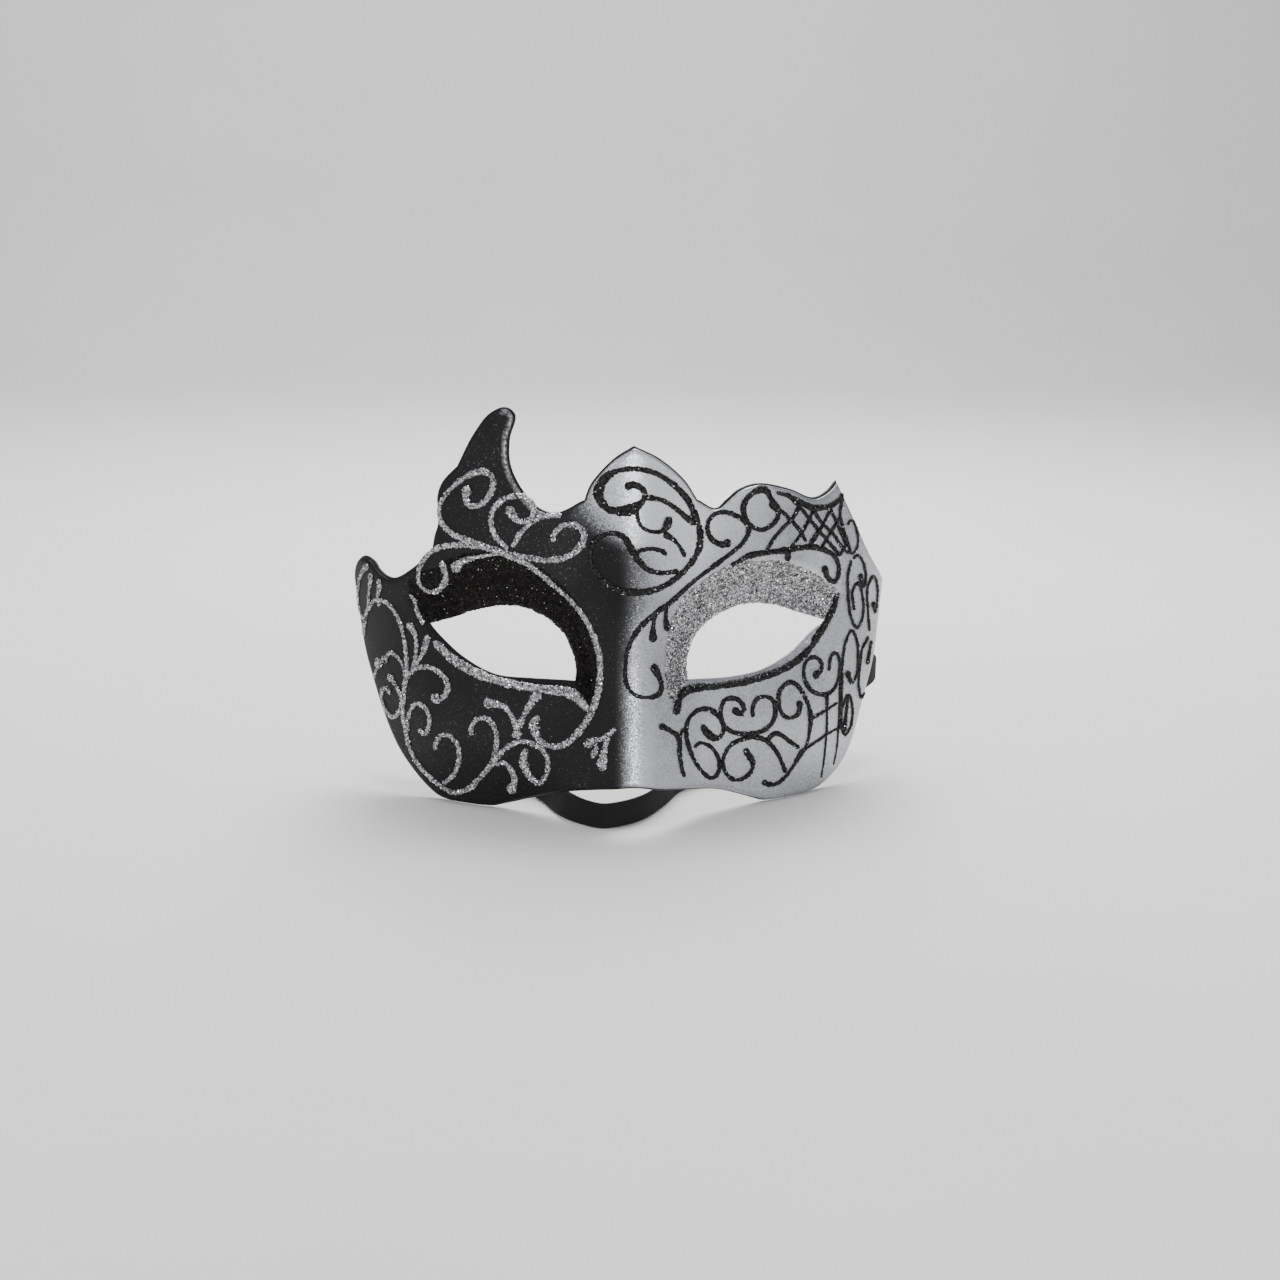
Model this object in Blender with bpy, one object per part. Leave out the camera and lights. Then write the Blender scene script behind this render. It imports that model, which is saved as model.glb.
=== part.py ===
"""Carnival half mask with a horn, a pointed crown and a flat elastic loop.

The mask faces -Y and stands on the lower edges of its cheeks at z = 0, with the
origin under the middle of the shell's box. Its left and right are those of the
picture: the horn stands on the -X side. Metres, +Z up.
"""
import math

import bmesh
import bpy
import numpy as np
from mathutils import Vector
from mathutils.geometry import delaunay_2d_cdt

# Driving sizes of the shell
HALF_GIRTH = 0.1000       # from the middle to a wing tip, measured along the shell
MASK_HEIGHT = 0.1210      # from the cheeks' lower edge to the tip of the horn
PLAN_HALF_WIDTH = 0.0900  # half axis across of the ellipse that the shell follows
PLAN_DEPTH = 0.0660       # half axis front to back of that ellipse
LEAN = 0.020              # how far the shell leans back, as depth per height
WALL = 0.0013             # thickness of the moulded sheet

# Driving sizes of the relief
NOSE_RISE = 0.0160        # how far the ridge stands out at its lower end
BRIDGE_RISE = 0.0030      # how far it stands out between the eyes and above
BRIDGE_HEIGHT = 0.0800    # height at which the nose runs out into the brow
NOSE_FOOT = 0.0140        # height of the lower end of the ridge
NOSE_SPREAD = 0.0155      # half width of the nose at its lower end
BRIDGE_SPREAD = 0.0095    # half width of the ridge at the bridge
CHEEK_RISE = 0.0025       # how far the cheeks puff out
SOCKET_DEPTH = 0.0075     # deepest step back from the lid's border to the opening
SOCKET_SLOPE = 0.75       # step back for each width of lid, where the lid is narrow
RIM_TURN = 0.0007         # how far the outer rim is turned back
RIM_WIDTH = 0.0018        # width of that turned strip

# Driving sizes of the elastic
STRAP_WIDTH = 0.0078
STRAP_THICK = 0.0012
STRAP_END_HEIGHT = 0.0310  # height of the middle of its ends on the wings
STRAP_GAP = 0.0007         # clearance between the elastic and the shell
STRAP_FLOOR_GAP = 0.0001   # clearance under its lower edge
STRAP_TURN = 0.0062        # radius of its bend behind each wing
STRAP_LIE = 0.018          # length at each end over which it lies along the wing
STRAP_RUN_ON = 0.0090      # how far it stands out behind the right wing before its bend

# Fineness of the mesh
EDGE_STEP = 0.0025
FIELD_STEP = 0.0033
LID_STEP = 0.0021
STRAP_STEP = 0.0034

# The outer edge, clockwise as seen from the front, starting at the left wing.
# around: share of HALF_GIRTH, to the right positive. up: share of MASK_HEIGHT.
# corner: True where the edge breaks.
EDGE = {
    "left wing": [
        ("around", "up", "corner"),
        (-0.982, 0.536, False),
        (-0.960, 0.572, False),
        (-0.920, 0.592, False),
        (-0.870, 0.587, False),
        (-0.838, 0.567, False),
        (-0.800, 0.555, False),
        (-0.765, 0.556, False),
        (-0.681, 0.597, False),
        (-0.620, 0.643, True),
    ],
    "horn": [
        ("around", "up", "corner"),
        (-0.612, 0.675, False),
        (-0.597, 0.712, False),
        (-0.599, 0.775, False),
        (-0.580, 0.812, False),
        (-0.530, 0.853, True),
        (-0.478, 0.930, False),
        (-0.425, 0.983, False),
        (-0.373, 1.000, False),
        (-0.346, 0.980, False),
        (-0.363, 0.925, False),
        (-0.361, 0.862, False),
        (-0.321, 0.799, False),
        (-0.270, 0.760, False),
    ],
    "crown": [
        ("around", "up", "corner"),
        (-0.221, 0.754, False),
        (-0.145, 0.786, True),
        (-0.125, 0.826, False),
        (-0.060, 0.888, False),
        (-0.004, 0.919, True),
        (0.071, 0.888, False),
        (0.150, 0.832, False),
        (0.189, 0.785, True),
        (0.246, 0.762, False),
    ],
    "right lobe": [
        ("around", "up", "corner"),
        (0.280, 0.782, False),
        (0.320, 0.806, False),
        (0.380, 0.817, False),
        (0.489, 0.798, False),
        (0.581, 0.770, False),
        (0.635, 0.781, False),
        (0.675, 0.804, True),
    ],
    "right wing": [
        ("around", "up", "corner"),
        (0.708, 0.765, False),
        (0.786, 0.679, False),
        (0.870, 0.597, False),
        (1.004, 0.510, True),
        (0.970, 0.400, False),
        (0.937, 0.307, False),
        (0.861, 0.204, False),
        (0.801, 0.108, False),
    ],
    "right cheek": [
        ("around", "up", "corner"),
        (0.755, 0.060, False),
        (0.685, 0.022, False),
        (0.630, 0.005, False),
        (0.580, 0.000, True),
        (0.455, 0.000, True),
        (0.418, 0.005, False),
        (0.371, 0.020, False),
        (0.276, 0.050, False),
    ],
    "nose edge": [
        ("around", "up", "corner"),
        (0.179, 0.070, False),
        (0.080, 0.095, False),
        (0.000, 0.112, False),
        (-0.070, 0.101, False),
        (-0.160, 0.076, False),
        (-0.294, 0.037, False),
        (-0.379, 0.014, False),
        (-0.425, 0.003, False),
    ],
    "left cheek": [
        ("around", "up", "corner"),
        (-0.460, 0.000, True),
        (-0.565, 0.000, True),
        (-0.608, 0.008, False),
        (-0.656, 0.032, False),
        (-0.754, 0.107, False),
        (-0.823, 0.191, False),
        (-0.880, 0.277, False),
        (-0.924, 0.350, False),
        (-0.960, 0.461, False),
    ],
}

# The eye openings and the border of the lids. The left ones are mirrored, and the
# left opening ends a little nearer to the nose.
RIGHT_OPENING = [
    ("around", "up", "corner"),
    (0.170, 0.342, True),
    (0.175, 0.383, False),
    (0.218, 0.446, False),
    (0.312, 0.494, False),
    (0.400, 0.506, False),
    (0.498, 0.493, False),
    (0.600, 0.465, False),
    (0.650, 0.450, True),
    (0.610, 0.434, False),
    (0.527, 0.387, False),
    (0.420, 0.353, False),
    (0.303, 0.341, False),
]
LEFT_OPENING = [
    ("around", "up", "corner"),
    (0.168, 0.342, True),
    (0.174, 0.384, False),
    (0.219, 0.450, False),
    (0.311, 0.497, False),
    (0.403, 0.507, False),
    (0.491, 0.491, False),
    (0.575, 0.468, False),
    (0.634, 0.454, True),
    (0.600, 0.428, False),
    (0.524, 0.383, False),
    (0.416, 0.348, False),
    (0.304, 0.343, False),
]
LID_BORDER = [
    ("around", "up", "corner"),
    (0.118, 0.285, True),
    (0.098, 0.345, False),
    (0.100, 0.420, False),
    (0.150, 0.535, False),
    (0.225, 0.595, False),
    (0.310, 0.628, False),
    (0.410, 0.637, False),
    (0.520, 0.618, False),
    (0.620, 0.580, False),
    (0.725, 0.512, True),
    (0.675, 0.466, False),
    (0.622, 0.418, False),
    (0.570, 0.380, False),
    (0.515, 0.353, False),
    (0.445, 0.334, False),
    (0.370, 0.325, False),
    (0.230, 0.316, False),
    (0.155, 0.307, False),
]

# The elastic's middle line between the wings. across: share of PLAN_HALF_WIDTH,
# back: share of PLAN_DEPTH, up: 0 where it stands on the floor, 1 at its ends,
# lean: share of a right angle by which its upper edge falls into the loop.
STRAP_RUN = [
    ("across", "back", "up", "lean"),
    (0.700, 0.640, 0.840, 0.00),
    (0.580, 0.520, 0.470, 0.00),
    (0.440, 0.425, 0.130, 0.00),
    (0.290, 0.380, 0.000, 0.00),
    (0.190, 0.277, 0.000, 0.00),
    (0.115, 0.088, 0.000, 0.00),
    (0.039, -0.073, 0.000, 0.00),
    (-0.034, -0.152, 0.000, 0.00),
    (-0.104, -0.180, 0.000, 0.00),
    (-0.170, -0.121, 0.000, 0.10),
    (-0.220, -0.020, 0.000, 0.27),
    (-0.300, 0.225, 0.000, 0.20),
    (-0.430, 0.380, 0.130, 0.05),
    (-0.560, 0.475, 0.470, 0.00),
    (-0.670, 0.585, 0.830, 0.00),
]
STRAP_END_AROUND = 0.790  # where its ends stop inside the wings, share of HALF_GIRTH
STRAP_EXIT_AROUND = 0.905  # where it leaves the wings, share of HALF_GIRTH

# Plan table: arc length along the ellipse against its angle
_ANGLES = np.radians(np.linspace(0.0, 105.0, 2101))
_LENGTHS = np.concatenate([[0.0], np.cumsum(np.hypot(
    np.diff(PLAN_HALF_WIDTH * np.sin(_ANGLES)),
    np.diff(PLAN_DEPTH * (1.0 - np.cos(_ANGLES)))))])


def rows(table):
    """Return the table's rows without its heading."""
    return table[1:]


def smooth_loop(points, corners, step, closed=True):
    """Run a smooth curve through the points and sample it evenly.

    Each stretch between two corners is a centripetal spline. The samples keep the
    corners, so the loop breaks where the edge does.
    """
    pts = np.array(points, float)
    count = len(pts)
    spans = count if closed else count - 1
    out = []
    for i in range(spans):
        p1, p2 = pts[i], pts[(i + 1) % count]
        before = 2 * p1 - p2 if corners[i] else pts[(i - 1) % count]
        after = 2 * p2 - p1 if corners[(i + 1) % count] else pts[(i + 2) % count]
        if not closed and i == 0:
            before = 2 * p1 - p2
        if not closed and i == spans - 1:
            after = 2 * p2 - p1
        n = 12
        t0 = 0.0
        t1 = t0 + math.sqrt(np.linalg.norm(p1 - before)) + 1e-9
        t2 = t1 + math.sqrt(np.linalg.norm(p2 - p1)) + 1e-9
        t3 = t2 + math.sqrt(np.linalg.norm(after - p2)) + 1e-9
        for k in range(n):
            t = t1 + (t2 - t1) * k / n
            a1 = (t1 - t) / (t1 - t0) * before + (t - t0) / (t1 - t0) * p1
            a2 = (t2 - t) / (t2 - t1) * p1 + (t - t1) / (t2 - t1) * p2
            a3 = (t3 - t) / (t3 - t2) * p2 + (t - t2) / (t3 - t2) * after
            b1 = (t2 - t) / (t2 - t0) * a1 + (t - t0) / (t2 - t0) * a2
            b2 = (t3 - t) / (t3 - t1) * a2 + (t - t1) / (t3 - t1) * a3
            out.append((t2 - t) / (t2 - t1) * b1 + (t - t1) / (t2 - t1) * b2)
    fine = np.array(out)
    marks = [i * 12 for i in range(count) if corners[i]] if closed else [0]
    if closed and not marks:
        marks = [0]
    result = []
    total = len(fine)
    for m, start in enumerate(marks):
        end = marks[(m + 1) % len(marks)]
        if closed and end <= start:
            end += total
        if not closed:
            end = total - 1
        run = fine[[j % total for j in range(start, end + 1)]]
        seg = np.linalg.norm(np.diff(run, axis=0), axis=1)
        along = np.concatenate([[0.0], np.cumsum(seg)])
        pieces = max(1, int(round(along[-1] / step)))
        for s in np.linspace(0.0, along[-1], pieces + 1)[:-1]:
            result.append([np.interp(s, along, run[:, c]) for c in range(run.shape[1])])
    if not closed:
        result.append(list(pts[-1]))
    return np.array(result)


def table_loop(table, step, mirror=False):
    """Sample a table of around and up shares as a loop in metres."""
    body = rows(table)
    side = -1.0 if mirror else 1.0
    pts = [(side * a * HALF_GIRTH, u * MASK_HEIGHT) for a, u, _ in body]
    return smooth_loop(pts, [c for _, _, c in body], step)


def edge_loop(step):
    """Sample the whole outer edge."""
    body = [row for section in EDGE.values() for row in rows(section)]
    pts = [(a * HALF_GIRTH, u * MASK_HEIGHT) for a, u, _ in body]
    loop = smooth_loop(pts, [c for _, _, c in body], step)
    loop[:, 1] = np.maximum(loop[:, 1], 0.0)
    return loop


def distance_to(loop, pts):
    """Distance of each point to a closed loop."""
    a = loop
    b = np.roll(loop, -1, axis=0)
    ab = b - a
    best = np.full(len(pts), 1e9)
    for p0, d in zip(a, ab):
        w = pts - p0
        t = np.clip((w @ d) / (d @ d + 1e-18), 0.0, 1.0)
        best = np.minimum(best, np.linalg.norm(w - t[:, None] * d, axis=1))
    return best


def inside(loop, pts):
    """Tell which points lie inside a closed loop."""
    hit = np.zeros(len(pts), bool)
    x, y = pts[:, 0], pts[:, 1]
    for (x1, y1), (x2, y2) in zip(loop, np.roll(loop, -1, axis=0)):
        if y1 == y2:
            continue
        cross = ((y1 > y) != (y2 > y)) & (x < (x2 - x1) * (y - y1) / (y2 - y1) + x1)
        hit ^= cross
    return hit


OUTER = edge_loop(EDGE_STEP)
EYES = [table_loop(RIGHT_OPENING, LID_STEP), table_loop(LEFT_OPENING, LID_STEP, True)]
LIDS = [table_loop(LID_BORDER, LID_STEP), table_loop(LID_BORDER, LID_STEP, True)]


def relief(pts):
    """Height of the shell over the plain wrapped sheet at each point."""
    around, up = pts[:, 0], pts[:, 1]
    fall = np.clip((BRIDGE_HEIGHT - up) / (BRIDGE_HEIGHT - NOSE_FOOT), 0.0, 1.25)
    rise = BRIDGE_RISE + (NOSE_RISE - BRIDGE_RISE) * fall ** 1.3
    spread = BRIDGE_SPREAD + (NOSE_SPREAD - BRIDGE_SPREAD) * fall
    height = rise * np.exp(-(around / spread) ** 2)
    for side in (1.0, -1.0):
        off = ((around - side * 0.47 * HALF_GIRTH) / (0.26 * HALF_GIRTH)) ** 2
        off = off + ((up - 0.19 * MASK_HEIGHT) / (0.14 * MASK_HEIGHT)) ** 2
        height += CHEEK_RISE * np.exp(-off)
    for eye, lid in zip(EYES, LIDS):
        within = inside(lid, pts)
        if not within.any():
            continue
        to_eye = distance_to(eye, pts[within])
        to_eye[inside(eye, pts[within])] = 0.0
        to_lid = distance_to(lid, pts[within])
        width = to_eye + to_lid
        depth = np.minimum(SOCKET_DEPTH, SOCKET_SLOPE * width)
        share = to_lid / (width + 1e-9)
        height[within] -= depth * share * share * (3.0 - 2.0 * share)
    near = np.clip(1.0 - distance_to(OUTER, pts) / RIM_WIDTH, 0.0, 1.0)
    return height - RIM_TURN * near * near


def wrap(pts, rise):
    """Bend the sheet round the ellipse and lift it by its relief."""
    around, up = pts[:, 0], pts[:, 1]
    angle = np.interp(np.abs(around), _LENGTHS, _ANGLES)
    side = np.sign(around)
    tx, ty = PLAN_HALF_WIDTH * np.cos(angle), PLAN_DEPTH * np.sin(angle)
    size = np.hypot(tx, ty)
    x = side * (PLAN_HALF_WIDTH * np.sin(angle) + rise * ty / size)
    y = PLAN_DEPTH * (1.0 - np.cos(angle)) - rise * tx / size + LEAN * up
    return np.stack([x, y, up], axis=1)


def front(pts):
    """Points of the shell's outer face."""
    return wrap(pts, relief(pts))


def normals(pts):
    """Outward directions of the outer face."""
    h = 0.0004
    du = front(pts + [h, 0.0]) - front(pts - [h, 0.0])
    dv = front(pts + [0.0, h]) - front(pts - [0.0, h])
    n = np.cross(du, dv)
    return n / np.linalg.norm(n, axis=1)[:, None]


def field_points():
    """Choose the mesh points inside the edge, closer together on the lids."""
    chosen = []
    for step, on_lid in ((FIELD_STEP, False), (LID_STEP, True)):
        across = np.arange(-1.05 * HALF_GIRTH, 1.05 * HALF_GIRTH, step)
        level = np.arange(0.0, 1.02 * MASK_HEIGHT, step * 0.866)
        grid = np.array([(a + 0.5 * step * (j % 2), u)
                         for j, u in enumerate(level) for a in across])
        lid = inside(LIDS[0], grid) | inside(LIDS[1], grid)
        close = np.minimum(distance_to(LIDS[0], grid), distance_to(LIDS[1], grid))
        keep = lid | (close < 0.002) if on_lid else ~lid & (close > 0.0035)
        grid = grid[keep]
        room = np.minimum(distance_to(EYES[0], grid), distance_to(EYES[1], grid))
        hole = inside(EYES[0], grid) | inside(EYES[1], grid)
        keep = inside(OUTER, grid) & ~hole & (room > 0.75 * LID_STEP)
        keep &= distance_to(OUTER, grid) > RIM_WIDTH + 0.45 * EDGE_STEP
        chosen.append(grid[keep])
    ring = inner_ring(OUTER, RIM_WIDTH * 0.6)
    return np.concatenate(chosen + [ring])


def inner_ring(loop, inset):
    """Shift a loop inwards and leave out what crowds its corners."""
    ahead = np.roll(loop, -1, axis=0) - np.roll(loop, 1, axis=0)
    ahead /= np.linalg.norm(ahead, axis=1)[:, None] + 1e-12
    ring = loop + inset * np.stack([ahead[:, 1], -ahead[:, 0]], axis=1)
    keep = inside(loop, ring) & (distance_to(loop, ring) > 0.8 * inset)
    return ring[keep]


def sheet_mesh():
    """Triangulate the developed sheet and return its points, faces and loops."""
    parts = [OUTER, EYES[0], EYES[1]]
    pts = np.concatenate(parts + [field_points()])
    edges = []
    start = 0
    loops = []
    for part in parts:
        ids = list(range(start, start + len(part)))
        loops.append(ids)
        edges += [(ids[i], ids[(i + 1) % len(ids)]) for i in range(len(ids))]
        start += len(part)
    scale = 1000.0
    made = delaunay_2d_cdt([Vector((p[0] * scale, p[1] * scale)) for p in pts],
                           edges, [], 0, 1e-5)
    verts = np.array([(v.x, v.y) for v in made[0]]) / scale
    place = {}
    for new, olds in enumerate(made[3]):
        for old in olds:
            place[old] = new
    faces = [tuple(f) for f in made[2]]
    middle = np.array([verts[list(f)].mean(axis=0) for f in faces])
    keep = inside(OUTER, middle) & ~inside(EYES[0], middle) & ~inside(EYES[1], middle)
    faces = [f for f, k in zip(faces, keep) if k]
    loops = [[place[i] for i in ids] for ids in loops]
    return verts, faces, loops


def material(name, colour, metallic, roughness):
    """Make a plain surface."""
    mat = bpy.data.materials.new(name)
    mat.use_nodes = True
    shader = mat.node_tree.nodes["Principled BSDF"]
    shader.inputs["Base Color"].default_value = (*colour, 1.0)
    shader.inputs["Metallic"].default_value = metallic
    shader.inputs["Roughness"].default_value = roughness
    mat.diffuse_color = (*colour, 1.0)
    return mat


def solid(name, points, faces, mat):
    """Make one closed object with its faces turned outwards."""
    mesh = bpy.data.meshes.new(name)
    mesh.from_pydata([tuple(p) for p in points], [], faces)
    mesh.validate()
    bm = bmesh.new()
    bm.from_mesh(mesh)
    loose = [v for v in bm.verts if not v.link_faces]
    bmesh.ops.delete(bm, geom=loose, context="VERTS")
    bmesh.ops.recalc_face_normals(bm, faces=bm.faces)
    bmesh.ops.triangulate(bm, faces=bm.faces)
    bm.to_mesh(mesh)
    bm.free()
    obj = bpy.data.objects.new(name, mesh)
    bpy.context.scene.collection.objects.link(obj)
    mesh.materials.append(mat)
    return obj


def make_shell(mat):
    """The moulded mask, one sheet with two eye openings."""
    verts, faces, loops = sheet_mesh()
    outer = front(verts)
    inner = outer - WALL * normals(verts)
    outer[:, 2] = np.maximum(outer[:, 2], 0.0)
    inner[:, 2] = np.maximum(inner[:, 2], 0.0)
    for ids in loops[:1]:
        low = [i for i in ids if verts[i, 1] < 1e-7]
        inner[low, 2] = 0.0
    count = len(verts)
    skin = [tuple(f) for f in faces]
    skin += [tuple(i + count for i in reversed(f)) for f in faces]
    sides = {}
    for f in faces:
        for i in range(3):
            sides[(f[i], f[(i + 1) % 3])] = True
    for a, b in list(sides):
        if (b, a) not in sides:
            skin.append((b, a, a + count, b + count))
    return solid("mask_shell", np.concatenate([outer, inner]), skin, mat)


def wing_run(side, leave, run_on):
    """The elastic along one wing's inner face and round its bend behind the edge."""
    depth = WALL + STRAP_GAP + 0.5 * STRAP_THICK
    spots = np.array([[side * share * HALF_GIRTH, STRAP_END_HEIGHT] for share in
                      (STRAP_END_AROUND, 0.5 * (STRAP_END_AROUND + leave), leave)])
    sunk = np.array([depth, depth, depth + RIM_TURN])[:, None]
    line = list(front(spots) - sunk * normals(spots))
    heading = line[-1] - line[-2]
    heading[2] = 0.0
    heading /= np.linalg.norm(heading)
    inward = side * np.array([-heading[1], heading[0], 0.0])
    tip = line[-1] + run_on * heading
    for ahead, aside in ((0.5, 0.0), (1.21, 0.29), (1.5, 1.0), (1.21, 1.71), (0.4, 2.0)):
        line.append(tip + STRAP_TURN * (ahead * heading + aside * inward))
    return line


def strap_line():
    """The elastic's middle line, from the right wing to the left one, and its lean."""
    low = 0.5 * STRAP_WIDTH + STRAP_FLOOR_GAP
    start = [np.append(p, 0.0) for p in wing_run(1.0, STRAP_EXIT_AROUND, STRAP_RUN_ON)]
    end = [np.append(p, 0.0) for p in wing_run(-1.0, STRAP_EXIT_AROUND - 0.06, 0.0)]
    run = [np.array([across * PLAN_HALF_WIDTH, back * PLAN_DEPTH,
                     low + up * (STRAP_END_HEIGHT - low), lean * 0.01])
           for across, back, up, lean in rows(STRAP_RUN)]
    line = start + run + end[::-1]
    line = smooth_loop(line, [False] * len(line), STRAP_STEP, closed=False)
    lean = np.clip(line[:, 3], 0.0, None) * 100.0 * math.radians(90.0)
    stand = 0.5 * (STRAP_WIDTH * np.cos(lean) + STRAP_THICK * np.sin(lean))
    line[:, 2] = np.maximum(line[:, 2] + stand - 0.5 * STRAP_WIDTH, stand + STRAP_FLOOR_GAP)
    return line[:, :3], lean


def make_strap(mat):
    """The flat elastic, standing on its edge."""
    line, lean = strap_line()
    ahead = np.gradient(line, axis=0)
    ahead /= np.linalg.norm(ahead, axis=1)[:, None]
    flat = np.cross(ahead, [0.0, 0.0, 1.0])
    flat /= np.linalg.norm(flat, axis=1)[:, None]
    flat = np.cos(lean)[:, None] * flat - np.sin(lean)[:, None] * np.cross(flat, ahead)
    spots = np.array([[side * STRAP_EXIT_AROUND * HALF_GIRTH * 0.94, STRAP_END_HEIGHT]
                      for side in (1.0, -1.0)])
    out_right, out_left = normals(spots)
    run = np.concatenate([[0.0], np.cumsum(np.linalg.norm(np.diff(line, axis=0), axis=1))])
    for along, out in ((run, out_right), (run[-1] - run, out_left)):
        hold = np.clip(1.5 - along / STRAP_LIE, 0.0, 1.0)[:, None]
        rolled = out - np.sum(out * ahead, axis=1)[:, None] * ahead
        rolled /= np.linalg.norm(rolled, axis=1)[:, None]
        flat = (1.0 - hold) * flat + hold * rolled
        flat /= np.linalg.norm(flat, axis=1)[:, None]
    tall = np.cross(flat, ahead)
    half_w, half_t = 0.5 * STRAP_WIDTH, 0.5 * STRAP_THICK
    shape = [(-half_w, -half_t), (half_w, -half_t), (half_w, half_t), (-half_w, half_t)]
    points = []
    for p, f, t in zip(line, flat, tall):
        points += [p + w * t + k * f for w, k in shape]
    points = np.array(points)
    faces = []
    for i in range(len(line) - 1):
        for k in range(4):
            m = (k + 1) % 4
            faces.append((4 * i + k, 4 * i + m, 4 * i + 4 + m, 4 * i + 4 + k))
    last = 4 * (len(line) - 1)
    faces += [(3, 2, 1, 0), (last, last + 1, last + 2, last + 3)]
    return solid("elastic_band", points, faces, mat)


def main():
    """Clear the scene and make the parts."""
    for obj in list(bpy.data.objects):
        bpy.data.objects.remove(obj, do_unlink=True)
    paint = material("mask_paint", (0.30, 0.31, 0.33), 0.35, 0.45)
    knit = material("black_knit", (0.02, 0.02, 0.022), 0.0, 0.85)
    shell = make_shell(paint)
    strap = make_strap(knit)
    corners = np.array([v.co for v in shell.data.vertices])
    middle = 0.5 * (corners.min(axis=0) + corners.max(axis=0))
    for obj in (shell, strap):
        for vert in obj.data.vertices:
            vert.co.x -= middle[0]
            vert.co.y -= middle[1]


main()
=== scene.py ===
"""Looks of the carnival half mask.

A black and silver sprayed half mask with a horn and a pointed crown, lines of
glitter glue on both halves, glitter lids, and a flat knitted elastic that comes
out under the nose. Metres, the mask faces -Y and stands on z = 0. Left and right
are those of the picture.
"""
from __future__ import annotations

import logging
import math
from dataclasses import dataclass, field
from enum import Enum

import bpy
import numpy as np
from mathutils import Matrix, Vector
from mathutils.bvhtree import BVHTree
from mathutils.geometry import delaunay_2d_cdt

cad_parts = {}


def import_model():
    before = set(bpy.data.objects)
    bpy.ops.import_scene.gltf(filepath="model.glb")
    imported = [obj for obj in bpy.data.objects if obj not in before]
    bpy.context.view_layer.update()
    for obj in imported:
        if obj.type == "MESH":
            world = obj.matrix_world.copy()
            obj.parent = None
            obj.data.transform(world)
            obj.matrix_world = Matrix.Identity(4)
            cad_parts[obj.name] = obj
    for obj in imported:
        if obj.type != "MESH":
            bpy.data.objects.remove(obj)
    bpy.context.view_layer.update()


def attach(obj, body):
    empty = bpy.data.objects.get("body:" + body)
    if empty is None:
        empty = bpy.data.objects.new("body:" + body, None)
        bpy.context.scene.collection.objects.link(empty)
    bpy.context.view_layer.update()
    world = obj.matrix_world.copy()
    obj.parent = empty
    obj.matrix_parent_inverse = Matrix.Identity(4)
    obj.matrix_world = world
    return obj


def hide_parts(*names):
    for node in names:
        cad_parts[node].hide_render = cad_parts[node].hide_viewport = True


LOG = logging.getLogger("half_mask")
Points = np.ndarray

# The outer edge, clockwise from the left wing: shares of the half girth (right
# positive) and of the height, and 1 where the edge breaks.
OUTLINE = (
    # left wing
    (-0.982, 0.536, 0), (-0.960, 0.572, 0), (-0.920, 0.592, 0), (-0.870, 0.587, 0),
    (-0.838, 0.567, 0), (-0.800, 0.555, 0), (-0.765, 0.556, 0), (-0.681, 0.597, 0),
    (-0.620, 0.643, 1),
    # horn
    (-0.612, 0.675, 0), (-0.597, 0.712, 0), (-0.599, 0.775, 0), (-0.580, 0.812, 0),
    (-0.530, 0.853, 1), (-0.478, 0.930, 0), (-0.425, 0.983, 0), (-0.373, 1.000, 0),
    (-0.346, 0.980, 0), (-0.363, 0.925, 0), (-0.361, 0.862, 0), (-0.321, 0.799, 0),
    (-0.270, 0.760, 0),
    # crown
    (-0.221, 0.754, 0), (-0.145, 0.786, 1), (-0.125, 0.826, 0), (-0.060, 0.888, 0),
    (-0.004, 0.919, 1), (0.071, 0.888, 0), (0.150, 0.832, 0), (0.189, 0.785, 1),
    (0.246, 0.762, 0),
    # right lobe
    (0.280, 0.782, 0), (0.320, 0.806, 0), (0.380, 0.817, 0), (0.489, 0.798, 0),
    (0.581, 0.770, 0), (0.635, 0.781, 0), (0.675, 0.804, 1),
    # right wing
    (0.708, 0.765, 0), (0.786, 0.679, 0), (0.870, 0.597, 0), (1.004, 0.510, 1),
    (0.970, 0.400, 0), (0.937, 0.307, 0), (0.861, 0.204, 0), (0.801, 0.108, 0),
    # right cheek
    (0.755, 0.060, 0), (0.685, 0.022, 0), (0.630, 0.005, 0), (0.580, 0.000, 1),
    (0.455, 0.000, 1), (0.418, 0.005, 0), (0.371, 0.020, 0), (0.276, 0.050, 0),
    # nose edge
    (0.179, 0.070, 0), (0.080, 0.095, 0), (0.000, 0.112, 0), (-0.070, 0.101, 0),
    (-0.160, 0.076, 0), (-0.294, 0.037, 0), (-0.379, 0.014, 0), (-0.425, 0.003, 0),
    # left cheek
    (-0.460, 0.000, 1), (-0.565, 0.000, 1), (-0.608, 0.008, 0), (-0.656, 0.032, 0),
    (-0.754, 0.107, 0),
    (-0.823, 0.191, 0), (-0.880, 0.277, 0), (-0.924, 0.350, 0), (-0.960, 0.461, 0),
)
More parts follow.
